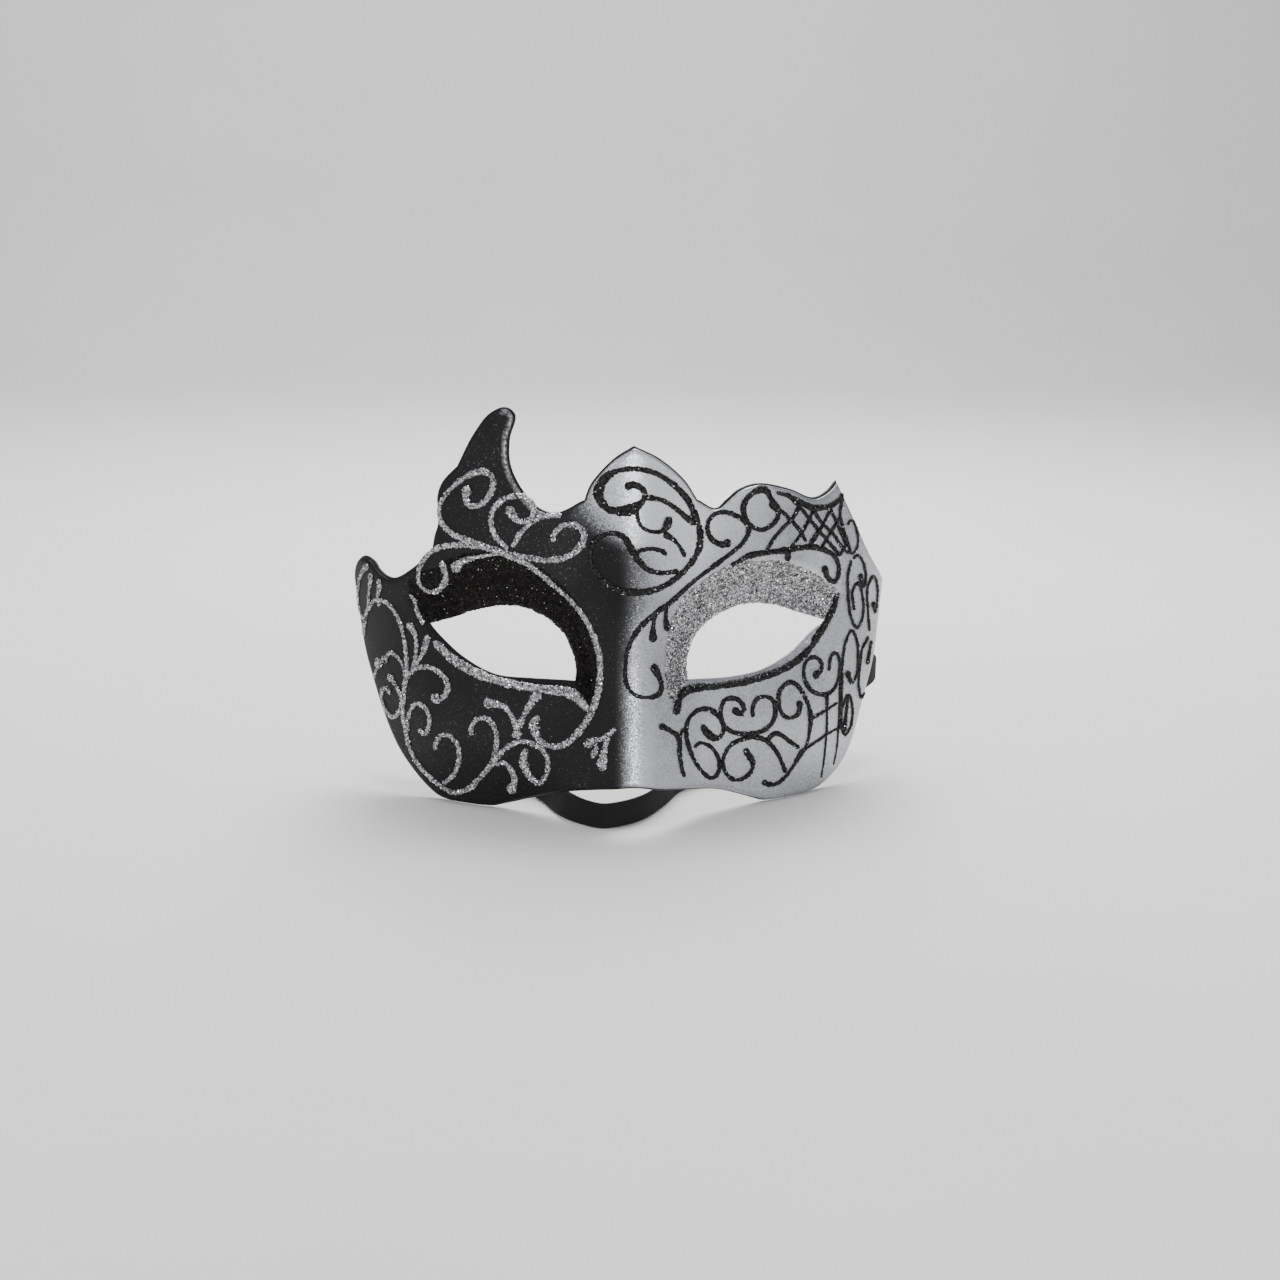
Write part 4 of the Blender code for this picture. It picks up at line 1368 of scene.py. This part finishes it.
@dataclass
class Stage:
    """A pale paper sweep and soft studio lights."""

    half_width: float = 1.6
    front: float = -1.2
    back: float = 1.1
    sweep: float = 0.45
    height: float = 1.5

    def build(self, mat: bpy.types.Material) -> None:
        """Make the paper and the lights."""
        profile = [(self.front, 0.0)] + [(y, 0.0) for y in np.linspace(-0.8, self.back, 12)]
        turns = np.radians(np.linspace(7.5, 90.0, 12))
        profile += [(self.back + self.sweep * math.sin(t), self.sweep * (1.0 - math.cos(t)))
                    for t in turns]
        profile += [(self.back + self.sweep, self.height)]
        xs = np.linspace(-self.half_width, self.half_width, 9)
        points = np.array([(x, y, z) for y, z in profile for x in xs])
        pile = MeshPile()
        pile.add(points, grid_faces(len(profile), len(xs)))
        pile.make("paper_sweep", [mat])
        for row in LIGHTS:
            self.light(*row)
        world = bpy.data.worlds.new("studio_air")
        world.use_nodes = True
        ground = world.node_tree.nodes["Background"]
        ground.inputs["Color"].default_value = (0.92, 0.94, 1.0, 1.0)
        ground.inputs["Strength"].default_value = 0.36
        bpy.context.scene.world = world

    def light(self, name: str, place: tuple[float, float, float],
              target: tuple[float, float, float], size: float, power: float) -> None:
        """Add one soft light that faces the target."""
        data = bpy.data.lights.new(name, "AREA")
        data.shape = "SQUARE"
        data.size = size
        data.energy = power
        lamp = bpy.data.objects.new(name, data)
        aim = (Vector(target) - Vector(place)).to_track_quat("-Z", "Y")
        lamp.matrix_world = Matrix.Translation(place) @ aim.to_matrix().to_4x4()
        bpy.context.scene.collection.objects.link(lamp)


# Soft lights: name, place, the point they face, side in metres, watts
LIGHTS = (
    ("key_above", (0.10, 0.42, 0.75), (0.0, 0.0, 0.05), 0.55, 9.0),
    ("fill_left", (-0.75, -0.45, 0.45), (0.0, 0.0, 0.06), 0.70, 2.5),
    ("side_right", (0.62, -0.62, 0.35), (0.0, 0.0, 0.05), 0.45, 1.2),
    ("brow_front", (0.02, -0.80, 0.09), (0.0, 0.0, 0.08), 0.17, 2.2),
    ("lip_top", (0.06, -0.16, 0.80), (0.0, -0.01, 0.05), 0.25, 1.3),
    ("paper_wash", (0.0, 0.45, 1.40), (0.0, 1.60, 0.45), 1.20, 22.0),
)

# Lines drawn on the picture, in its 1280 by 1280 pixels

LEFT_LID_BORDER = (
    (424, 624), (414, 603), (408, 580), (416, 574), (430, 569), (445, 561), (460, 555),
    (480, 552.5), (500, 552), (520, 558), (540, 567), (558, 582), (575, 600), (586, 620),
    (592, 640), (597, 660), (598, 680), (595, 696), (589, 708), (582, 700), (576, 688),
)
RIGHT_LID_BORDER = (
    (675, 706), (671, 700), (668, 694), (666, 677), (665, 659), (669.5, 627), (682, 600),
    (696, 585), (713, 573.7), (731, 565), (752, 561), (773, 561), (794, 565), (815, 573.7),
    (829, 583.5), (838.5, 592), (835, 600), (828, 608.8), (823, 616),
)
LEFT_SILVER = (
    # horn curl, down round the brow and in beside the nose
    Stroke(((469.5, 486.5, 1.9), (467.2, 491, 2.4), (465.6, 497, 2.0), (469.5, 505, 1.6),
            (477.5, 505.5, 1.6), (488, 498, 1.5), (493.2, 485.4, 1.5), (491.8, 475.6, 1.5),
            (485, 471.6, 1.6), (476, 472.6, 1.5), (463.2, 478.4, 1.3), (451.5, 488.2, 1.2),
            (442.7, 500, 1.1), (439, 511, 1.2), (442, 522.5, 1.4), (451.5, 533, 1.6),
            (465, 539.2, 1.7), (480, 544.6, 1.6), (497, 550.5, 1.8), (511.4, 556, 2.0),
            (527.5, 564, 1.7), (541.8, 574.6, 1.5), (555.8, 586.6, 1.4), (568.5, 597.6, 1.4),
            (578, 608.6, 1.3), (586.6, 621.4, 1.3), (593.6, 635.4, 1.4), (599, 652.2, 1.5),
            (600.5, 668, 1.6), (599.2, 687.3, 1.5), (594.3, 705.6, 1.6), (588.6, 718.4, 1.5),
            (579, 732, 1.5), (565.8, 743.7, 1.5), (552.4, 746.5, 1.5), (541, 741.7, 1.7),
            (534.5, 730, 2.3), (534, 721, 2.2), (539, 716, 1.5))),
    # second curl between horn and crown
    Stroke(((511, 506, 1.6), (510.5, 510.5, 2.5), (513.5, 516.5, 2.2), (518.5, 521, 1.6),
            (524.5, 522, 1.5), (531, 518, 1.5), (533.8, 509, 1.5), (531, 502, 1.4),
            (520.4, 496.2, 1.4), (506, 498, 1.5), (495.4, 506.8, 1.5), (491, 519.3, 1.5),
            (495.4, 535.4, 1.5), (508, 549, 1.6))),
    Stroke(((512.3, 547, 1.2), (520, 534, 1.3), (530.5, 523, 1.3), (541.8, 516.8, 1.4),
            (552.5, 515.7, 1.5), (561.4, 515.4, 1.5))),
    Stroke(((512, 554, 1.5), (531, 558, 1.6), (550.7, 560.2, 1.6), (570.4, 555, 1.6),
            (582.9, 542.5, 1.6), (583.8, 532, 1.7), (574, 524.6, 1.6), (561.6, 526.4, 1.3),
            (554.5, 533.6, 1.3), (552.5, 542, 1.2))),
    # curl over the outer corner of the eye
    Stroke(((500.7, 552.5, 1.4), (481, 546.4, 1.5), (461.4, 545, 1.5), (443.6, 546.2, 1.5),
            (431, 552.5, 1.4), (421.4, 564, 1.3), (418.8, 577.5, 1.3), (424.5, 589, 1.4),
            (433, 591.4, 1.4), (442.4, 585.4, 1.5), (446.6, 575, 1.7), (443.4, 565.6, 2.1)),
           1.4, (0.0, 1.15)),
    Stroke(((455.3, 567.6, 2.4), (457.5, 565.5, 2.6), (462, 561.5, 2.0), (468.6, 559.2, 1.4),
            (483, 556, 1.2), (500, 553.2, 1.2)), 1.2, (1.2, 0.0)),
    Stroke(((410.8, 594.5), (416.7, 609.5), (423.3, 624.5)), 0.9),
    # wing tip
    Stroke(((366.8, 566.8, 1.8), (363.6, 570.5, 1.4), (360.5, 577, 1.0), (358, 592, 0.9),
            (359.4, 607.5, 0.9), (363.2, 619, 1.0)), 1.0, (0.95, 0.0)),
    Stroke(((370.8, 576, 1.7), (371, 580.5, 1.6), (368.9, 592, 0.9), (368.4, 607, 0.9)),
           1.0, (0.85, 0.0)),
    Stroke(((379.4, 581.5, 1.5), (379.6, 587, 1.4), (378.2, 597, 0.9), (379.5, 606, 0.9)),
           1.0, (0.75, 0.0)),
    Stroke(((364, 635.6), (365, 622), (368.7, 608.8), (376, 600), (387.8, 603), (397.4, 616.5),
            (403, 631.8), (406, 651), (407, 672), (406, 679.6)), 1.2),
    Stroke(((379, 663.3), (374.4, 677.7)), 1.1, (1.5, 0.0)),
    Stroke(((385, 659.5), (390.7, 652.8), (398.3, 657.6), (404, 668), (406, 677.7)), 1.1,
           (1.2, 0.0)),
    Stroke(((390.7, 677.7), (397.4, 687.3), (402, 700.6), (401, 708.3), (393.5, 717),
            (386, 710), (382, 698.7), (383, 689), (387.8, 688), (390, 694)), 1.15, (1.1, 0.0)),
    # stem from the wing down to the cheek and up beside the nose
    Stroke(((406, 677.7), (404, 693), (403, 712), (406, 731), (410.8, 750.4), (418.4, 763.8),
            (430, 777), (439.4, 784.8), (449, 790.5), (455, 792.4), (470, 787.7),
            (481.6, 776), (493, 762.8), (504.5, 749.4), (518, 741.7), (531, 742.7),
            (541, 747.5)), 1.4),
    Stroke(((407, 677.7, 1.3), (416.5, 668, 1.4), (428, 667, 1.4), (439.4, 672, 1.4),
            (447, 681.5, 1.4), (447.5, 691, 1.5), (441.5, 698.6, 1.7), (436.2, 698.4, 2.3)),
           1.4, (0.0, 1.4)),
    Stroke(((410.9, 626.6, 2.0), (415, 633, 1.3), (416.5, 641, 1.1), (415.5, 658.6, 1.1),
            (410.8, 674, 1.1)), 1.15, (1.15, 0.0)),
    Stroke(((427.4, 634.5, 1.5), (427.2, 640, 2.1), (425, 648, 1.8), (420.5, 658, 1.1),
            (414, 668, 1.0), (408.8, 675.8, 1.0))),
    Stroke(((408, 731), (408, 718), (416.5, 703.5), (426, 708.3), (430, 721.7), (425, 734),
            (419.4, 729.3)), 1.25),
    Stroke(((434.7, 749.4), (439.4, 737), (448, 735), (456.7, 742.7), (459.5, 756),
            (454.7, 773.3), (443.3, 783.8)), 1.3),
    # cheek
    Stroke(((493, 761), (497, 743.7), (495, 728.4), (485.4, 717.8), (474, 721.7),
            (471, 735)), 1.35),
    Stroke(((495, 764.7, 1.3), (504.5, 762.8, 1.3), (513, 772.4, 1.4), (514.5, 781, 1.9),
            (511.5, 788.5, 2.6)), 1.3, (0.0, 1.4)),
    Stroke(((526.5, 748.4, 1.5), (523.7, 761, 2.2), (528.4, 774.3, 2.0), (539, 783, 1.4),
            (546.6, 774.3, 1.3), (547.6, 759, 1.4), (541, 747.5, 1.5), (531.3, 743.7, 1.4))),
    Stroke(((488.5, 703, 2.4), (492.5, 703.4, 2.4), (498, 704.4, 1.7), (505.2, 707.4, 1.5),
            (512, 716, 1.4), (517, 729, 1.3), (517, 734, 1.3)), 1.3, (1.3, 1.25)),
    Stroke(((540, 691.5, 3.4), (535.5, 697, 2.7), (530.5, 704, 1.9), (524, 715.5, 1.5),
            (518, 728.4, 1.3))),
    # under the eye
    Stroke(((434.7, 641.2, 1.5), (443, 651, 1.7), (456, 661.5, 1.9), (470, 670, 1.9),
            (484.2, 676.3, 1.9), (498, 681, 1.8), (512.3, 684.6, 1.8), (531.3, 688.2, 1.8),
            (550.4, 690.2, 2.0), (563, 691.8, 2.3), (573, 695, 2.6), (582, 702.5, 2.5),
            (588.7, 711.5, 1.9))),
    # mark on the side of the nose
    Stroke(((585.5, 745.5, 1.5), (588.5, 743.6, 2.1), (594, 741, 1.7), (601, 739, 1.1),
            (608, 735, 1.1), (615.5, 728.4, 0.9))),
    Stroke(((607.8, 737, 1.2), (605, 748, 1.2), (603.4, 757, 1.6), (602, 765.5, 2.3)), 1.2,
           (0.0, 1.25)),
    Stroke(((597.5, 745, 1.1), (594.4, 752, 1.3), (592.3, 757.5, 1.0))),
)
RIGHT_BLACK = (
    # crown loop and its curls
    Stroke(((606.5, 507.5, 2.6), (600.5, 501, 2.9), (598.3, 492.5, 3.0), (601.5, 483, 2.8),
            (607, 476.5, 2.2), (614.5, 472, 1.7), (624, 469.6, 1.4), (634, 468.9, 1.3),
            (644, 470, 1.4), (653.2, 472.4, 1.6), (663.5, 477.5, 1.7), (672.7, 484.1, 1.8),
            (685.8, 497.1, 1.9), (694.4, 514.4, 1.9), (699.9, 531.8, 2.0), (698.8, 549.1, 1.9),
            (690.1, 564.3, 1.8), (677.1, 577.5, 1.8), (659.7, 588.2, 1.7), (648, 591.4, 1.8),
            (635.9, 592.4, 1.8), (625, 591.6, 1.7), (614.2, 588.2, 1.6), (606, 582.5, 1.5),
            (599, 575.1, 1.4), (593, 567, 1.4), (590.4, 558, 1.4), (590.4, 549.5, 1.4),
            (593.5, 542.5, 1.4), (598.5, 537.5, 1.4), (603.4, 535, 1.4), (611, 533.2, 1.5),
            (618.5, 534.2, 1.6), (625.5, 538.8, 1.8), (629.4, 545.6, 1.9), (632.6, 551.5, 1.9),
            (637, 558.4, 1.9), (646.7, 569, 1.5), (655, 572, 1.4), (664.1, 573, 1.4),
            (678.2, 571, 1.4))),
    Stroke(((603, 503, 2.0), (608, 509, 2.0), (616, 511.2, 2.3), (625, 510.8, 2.9),
            (632.5, 508.8, 3.0), (638.5, 505, 2.4), (643, 500, 1.8), (644.8, 494.5, 1.6),
            (642.8, 489.5, 1.7), (638, 486.2, 2.0), (633, 485, 2.3), (628.8, 486, 2.3)), 1.6,
           (0.0, 1.2)),
    Stroke(((645.5, 497.2, 1.6), (652, 498, 1.5), (661.9, 500.3, 1.4), (674.9, 507.9, 1.5),
            (687.9, 518.8, 1.8), (694.5, 524, 1.8))),
    Stroke(((636.5, 509, 1.5), (637.2, 516, 1.1), (639.5, 523.5, 1.0), (643.5, 528.2, 1.0),
            (649, 530.9, 1.0), (655, 532, 1.1), (660.5, 531.6, 1.3), (665, 528.6, 1.9),
            (667.5, 524, 2.6), (668.4, 521, 2.5)), 1.2, (0.0, 1.3)),
    Stroke(((663.8, 534, 1.7), (667.5, 535.8, 2.0), (672, 538.6, 1.5), (677.1, 543, 1.1),
            (680.5, 548, 1.2), (683, 552.6, 1.4), (685.2, 556.6, 1.5))),
    Stroke(((637.5, 552, 1.4), (644.5, 549.4, 1.3), (651, 548.8, 1.2), (658, 549.8, 1.3),
            (663, 551.8, 1.5), (666.2, 554.4, 1.5))),
    # brow curl, down beside the nose
    Stroke(((727.5, 543, 2.2), (723, 544.4, 2.1), (716.1, 542.6, 1.8), (710.6, 537.6, 1.6),
            (707.6, 530.4, 1.5), (708, 523, 1.4), (711.5, 516.6, 1.4), (717, 513, 1.4),
            (723.5, 512.2, 1.5), (731, 513.4, 1.6), (737.8, 516.6, 1.6), (744.5, 521, 1.6),
            (748.4, 527.2, 1.6), (748, 534, 1.5), (743.5, 541.5, 1.4), (733.5, 551.3, 1.4),
            (716.1, 564.3, 1.4), (698.8, 577.3, 1.3), (686, 588.2, 1.4), (670.8, 602.1, 1.5),
            (655.5, 613.6, 1.6), (640.2, 627, 1.5), (630.6, 642.3, 1.3), (626.6, 654, 1.1),
            (625.4, 666, 1.1), (625.6, 680, 1.2), (628.8, 688.6, 1.2), (634.4, 694.4, 1.1),
            (640, 696.8, 1.1), (645.9, 697.4, 1.1), (652.5, 697, 1.3), (658.4, 694.4, 1.5),
            (661.2, 689.6, 1.5), (661, 683, 1.4), (659, 676.8, 1.6), (656, 671.4, 2.0),
            (654.2, 667.6, 2.0)), 1.4, (1.2, 1.1)),
    Stroke(((655.8, 613.6, 1.3), (654.2, 620, 1.2), (653.2, 627, 1.3), (652.8, 633, 1.9),
            (653.2, 638.5, 2.2), (653.4, 642, 1.8))),
    Stroke(((669.2, 602.6, 1.2), (666.6, 610, 1.1), (665.6, 617.4, 1.2), (666, 623, 1.7),
            (667.2, 627.6, 2.0)), 1.2, (0.0, 1.05)),
    # ring on the lobe
    Stroke(((772.8, 504, 2.5), (775.8, 507.5, 2.3), (778.2, 512.5, 1.9), (777.2, 518.5, 1.7),
            (773.6, 523.6, 1.6), (768, 527.8, 1.5), (761.7, 529.8, 1.5), (754.5, 528, 1.5),
            (748.6, 523.6, 1.6), (744.6, 516.5, 1.7), (743.2, 508.5, 1.8), (744.8, 502, 1.7),
            (748.6, 496.8, 1.6), (754.5, 491.8, 1.8), (761.5, 489.4, 2.3), (766.5, 491, 2.1),
            (770, 497, 1.6), (774, 505, 1.8)), 1.6, (1.25, 0.0)),
    # net on the lobe: its upper and lower borders
    Stroke(((776.8, 492.7, 1.4), (789.8, 496.2, 1.4), (800.7, 502.2, 1.7), (812.6, 507.8, 1.9),
            (824, 507.4, 1.6), (831, 505.8, 1.6), (838, 501, 1.5), (841.9, 493.6, 1.5))),
    Stroke(((731.3, 565.4, 1.4), (740, 560.6, 1.5), (748.6, 555.8, 2.0), (761.7, 553.3, 1.6),
            (775, 551.6, 1.6), (787.7, 550, 1.9), (800, 548, 1.6), (811.5, 547, 2.0),
            (822.4, 549.1, 1.7), (830, 553, 1.6), (835.4, 557.8, 1.6), (838.6, 566.5, 1.4),
            (837.5, 577.3, 1.4), (834, 582, 1.5), (828, 577.8, 1.6), (824.8, 569.6, 2.1)), 1.5,
           (0.0, 1.25)),
    Stroke(((787.7, 550, 1.8), (787.9, 554.5, 1.8), (787.7, 558, 1.9)), 1.8, (0.0, 1.0)),
    # its lines down to the right
    Stroke(((777.9, 508.2), (789.8, 518.8), (800.7, 531.8), (806.1, 541.5)), 1.15),
    Stroke(((789.8, 497.6), (800.7, 508), (809.4, 518.8), (818, 529.6), (831, 544.8),
            (839.7, 555.6)), 1.1),
    Stroke(((812.2, 508), (820.2, 520.9), (833.2, 534.2), (841.9, 547), (848.4, 553.4)), 1.1),
    Stroke(((830.2, 508), (838.6, 527.4), (846.2, 544.8)), 1.1),
    Stroke(((841.9, 493.6), (840, 514.4), (844, 531.8), (850.6, 552)), 1.2),
    # its lines down to the left
    Stroke(((800.7, 503.6), (792, 518.8), (783.3, 527.4), (772.5, 540.5), (766, 552)), 1.25),
    Stroke(((813.7, 509.6), (805, 527.4), (796.3, 540.5), (788.8, 550.2)), 1.15),
    Stroke(((831, 508), (822.4, 525.3), (811.5, 542.6, 1.9), (810.6, 546, 2.2)), 1.15),
    Stroke(((840, 516.6), (831, 531.8), (821.3, 548)), 1.1),
    Stroke(((846.2, 543.6), (839.7, 555.6)), 1.0),
    Stroke(((847.6, 525), (850, 520.6), (853.4, 521.8), (856.6, 530.5), (858, 541),
            (856.2, 549.6), (852, 553.4), (848.4, 549)), 0.95),
    # under the eye
    Stroke(((676.2, 715, 1.8), (677.4, 706.5, 2.1), (679, 699.4, 2.1), (683, 693.4, 2.2),
            (691.8, 689.2, 2.1), (703, 687.6, 1.9), (714.8, 686.8, 1.8), (729, 684.8, 1.8),
            (743.5, 682.2, 1.8), (758, 678.8, 1.8), (772.2, 674.2, 1.8), (782, 670.2, 1.9),
            (791.6, 664.8, 1.9), (801.4, 657.6, 1.9), (810, 648.8, 1.8), (825, 624.6, 1.8),
            (834, 607, 1.6), (838.8, 593, 1.3))),
    # cheek curls
    Stroke(((662.2, 726.4, 1.8), (666.5, 728.8, 1.3), (672, 732, 1.2), (678.6, 736.4, 1.6),
            (679.6, 743.5, 1.4), (679.6, 752, 1.2), (681.4, 766.6, 1.1), (684.4, 777, 1.0)), 1.2,
           (0.95, 0.0)),
    Stroke(((678.6, 737), (684.6, 728.6)), 1.2),
    Stroke(((702.6, 724.5, 1.4), (704.6, 729.5, 2.0), (708.4, 734.4, 2.4), (713.5, 737.8, 1.9),
            (718.8, 737.6, 1.5), (723, 732.6, 1.5), (723, 724.5, 1.5), (719, 716.5, 1.5),
            (712, 710.6, 1.5), (703, 708.8, 1.4), (695.5, 711.6, 1.4), (689.4, 718, 1.4),
            (686.2, 727.5, 1.4), (687.2, 741, 1.3), (693.7, 759, 1.2), (702.6, 772, 1.2),
            (711.5, 778, 1.3), (717.6, 773.6, 1.4), (719.2, 762.5, 1.3), (715.2, 752, 1.2),
            (708, 745, 1.1), (699.5, 743, 1.0), (694, 747.4, 1.0))),
    Stroke(((743.6, 715.2, 1.0), (739.6, 714, 1.6), (735.6, 711, 2.4), (733.6, 708.2, 2.0))),
    Stroke(((740, 713.2, 1.4), (743.8, 710.4, 1.4), (743, 705, 1.5), (737.7, 699.6, 1.4),
            (730, 698.2, 1.4), (724, 701, 1.3), (721, 708.4, 1.3), (722, 719.8, 1.3),
            (727.5, 729, 1.3), (736, 733, 1.4), (747.3, 734, 1.6), (757.5, 732.6, 1.5),
            (766.5, 728.6, 1.5), (773.4, 720, 1.5), (775.4, 708.4, 1.5), (772, 699.4, 1.4),
            (765.5, 696.6, 1.3), (758, 698.4, 1.4), (753, 705.4, 1.3), (752.8, 717, 1.1))),
    Stroke(((746, 751, 1.9), (748.4, 754.6, 2.5), (751.6, 759.4, 1.8), (753, 765, 1.3),
            (749.4, 773.4, 1.4), (743, 778.4, 1.4), (735, 779.8, 1.3), (727.4, 775, 1.2),
            (723.2, 765.4, 1.2), (725, 753.4, 1.3), (731.5, 744.4, 1.3), (743.5, 738.9, 1.4),
            (757, 737.4, 1.5), (768.4, 742.4, 1.5), (777.5, 753.4, 1.4), (782.4, 763.6, 1.3),
            (785.4, 772.6, 1.3)), 1.4, (0.9, 0.0)),
    Stroke(((767.4, 740.4, 1.4), (771.4, 735.4, 1.5), (776.5, 733.2, 1.6), (782.5, 735.8, 1.4),
            (790, 741.4, 1.2), (797.4, 746.6, 1.3)), 1.3, (0.0, 0.75)),
    Stroke(((764.5, 782.6, 1.5), (770, 784.6, 1.4), (776.4, 783.6, 1.4), (785.6, 776.4, 1.3),
            (793.5, 765.4, 1.2), (800.6, 753.8, 1.9), (804.4, 749.6, 1.4), (810.4, 745.4, 1.0),
            (825.7, 735, 0.9), (837.2, 728.4, 0.8)), 1.3, (0.9, 0.0)),
    Stroke(((799.6, 704.4, 2.0), (799.4, 711, 1.5), (794.5, 716.6, 1.3), (787, 717.6, 1.2),
            (781, 711.6, 1.4), (778.2, 701.6, 1.5), (780, 690.8, 1.5), (785.6, 684, 1.4),
            (792.5, 682.4, 1.3), (798.6, 686.8, 1.3), (804.2, 695.6, 1.3), (808.5, 706, 1.3),
            (810.6, 717, 1.8), (810.2, 726, 1.5), (808.2, 739, 1.2), (805, 750.6, 1.3)), 1.3,
           (1.15, 0.0)),
    Stroke(((811, 719.6, 1.3), (817, 715.4, 1.2), (824, 711.6, 1.1), (837.2, 702.8, 0.9))),
    Stroke(((816.2, 674.8, 2.2), (820.4, 670.6, 1.5), (821.9, 664.6, 1.3), (818, 658.4, 1.3),
            (811.6, 657.4, 1.3), (805.6, 662.6, 1.3), (803.6, 672, 1.3), (806.4, 684, 1.4),
            (813.6, 692, 1.4), (823, 694.6, 1.4), (831, 692, 1.3), (836.8, 683.4, 1.2),
            (839.4, 670, 1.1), (838.8, 658, 1.1), (835, 652.6, 1.1), (830.8, 657, 1.2),
            (829, 671, 1.0)), 1.3, (1.3, 0.0)),
    Stroke(((826.7, 694, 1.6), (826.9, 713, 1.0), (825.7, 741.7, 0.8), (823.8, 760.9, 0.7),
            (821, 778.1, 0.5))),
    Stroke(((839.8, 674.8, 0.9), (839.4, 702.5, 0.8), (838.2, 728.4, 0.8), (836.3, 751.3, 0.6),
            (833.4, 764.7, 0.5))),
    # wing tip
    Stroke(((851.4, 560), (848, 574.3), (848, 595.7), (850.5, 615.4), (856.8, 628),
            (862, 619), (863, 601), (857.7, 583), (852.3, 592), (854, 610)), 1.1),
    Stroke(((853, 558), (857.5, 555.4), (862, 560), (865.7, 574.3), (864, 586.8),
            (860.4, 577, 1.8)), 1.1, (0.0, 1.1)),
    Stroke(((869.3, 631), (867.5, 606), (867.5, 587), (873, 576), (877.3, 588.6),
            (875.5, 612), (873, 604.6, 1.7)), 1.1, (0.0, 1.0)),
    Stroke(((839.8, 729), (841.6, 685), (842.5, 660), (846, 640.4), (851.4, 630.5),
            (856.8, 640.4), (857.7, 660), (856, 676), (851.4, 683), (848, 674.3, 2.0)), 1.1,
           (0.0, 1.2)),
    Stroke(((871, 640.4), (867.5, 661.8, 1.6)), 1.1, (0.0, 1.0)),
    Stroke(((868.4, 636.8), (862, 649.3), (859.5, 667), (858.6, 685), (861.3, 697.5),
            (864.8, 692)), 1.1),
    Stroke(((847, 694), (842.5, 706.4), (840.7, 720.7), (845, 735), (850.5, 726),
            (852.3, 708), (848.8, 694.8), (843.8, 729.6, 1.8)), 1.05, (0.0, 1.1)),
)


def report_piece(obj: bpy.types.Object) -> None:
    """Log a piece's name and its number of faces."""
    LOG.info("%s: %d faces", obj.name, len(obj.data.polygons))


def main() -> None:
    """Build the scene in order: frame, camera, elastic, shell, glitter, stage."""
    logging.basicConfig(level=logging.INFO, format="%(name)s: %(message)s")
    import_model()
    view = PictureView()
    view.make_camera()
    form = ShellForm()
    shelf = GroupShelf()
    report_piece(ElasticBand(form).build(KnittedElastic().make()))
    shell = MaskShell(form)
    report_piece(shell.build(SprayedPaint().make(shelf), BarePlastic().make(shelf)))
    landing = shell.landing(view)
    silver = GlitterGlue("silver_glitter_glue", GlitterTone.SILVER, 0.24).make(shelf)
    black = GlitterGlue("black_glitter_glue", GlitterTone.BLACK, 0.030).make(shelf)
    lid_black = GlitterGlue("black_lid_glitter", GlitterTone.BLACK, 0.004, fineness=3000.0,
                            tilt=0.5, gloss=0.35, grey=(0.042, 0.038, 0.032))
    for piece, mat in (
            (LidGlitter("lid_left_black_glitter", form, LEFT_LID_BORDER, True, 11),
             lid_black.make(shelf)),
            (LidGlitter("lid_right_silver_glitter", form, RIGHT_LID_BORDER, False, 12), silver),
            (ScrollWork("scrolls_left_silver", form, LEFT_SILVER, 21, fullness=1.12), silver),
            (ScrollWork("scrolls_right_black", form, RIGHT_BLACK, 22), black)):
        report_piece(piece.build(landing, mat))
    Stage().build(PaperBackdrop().make())


if __name__ == "__main__":
    main()
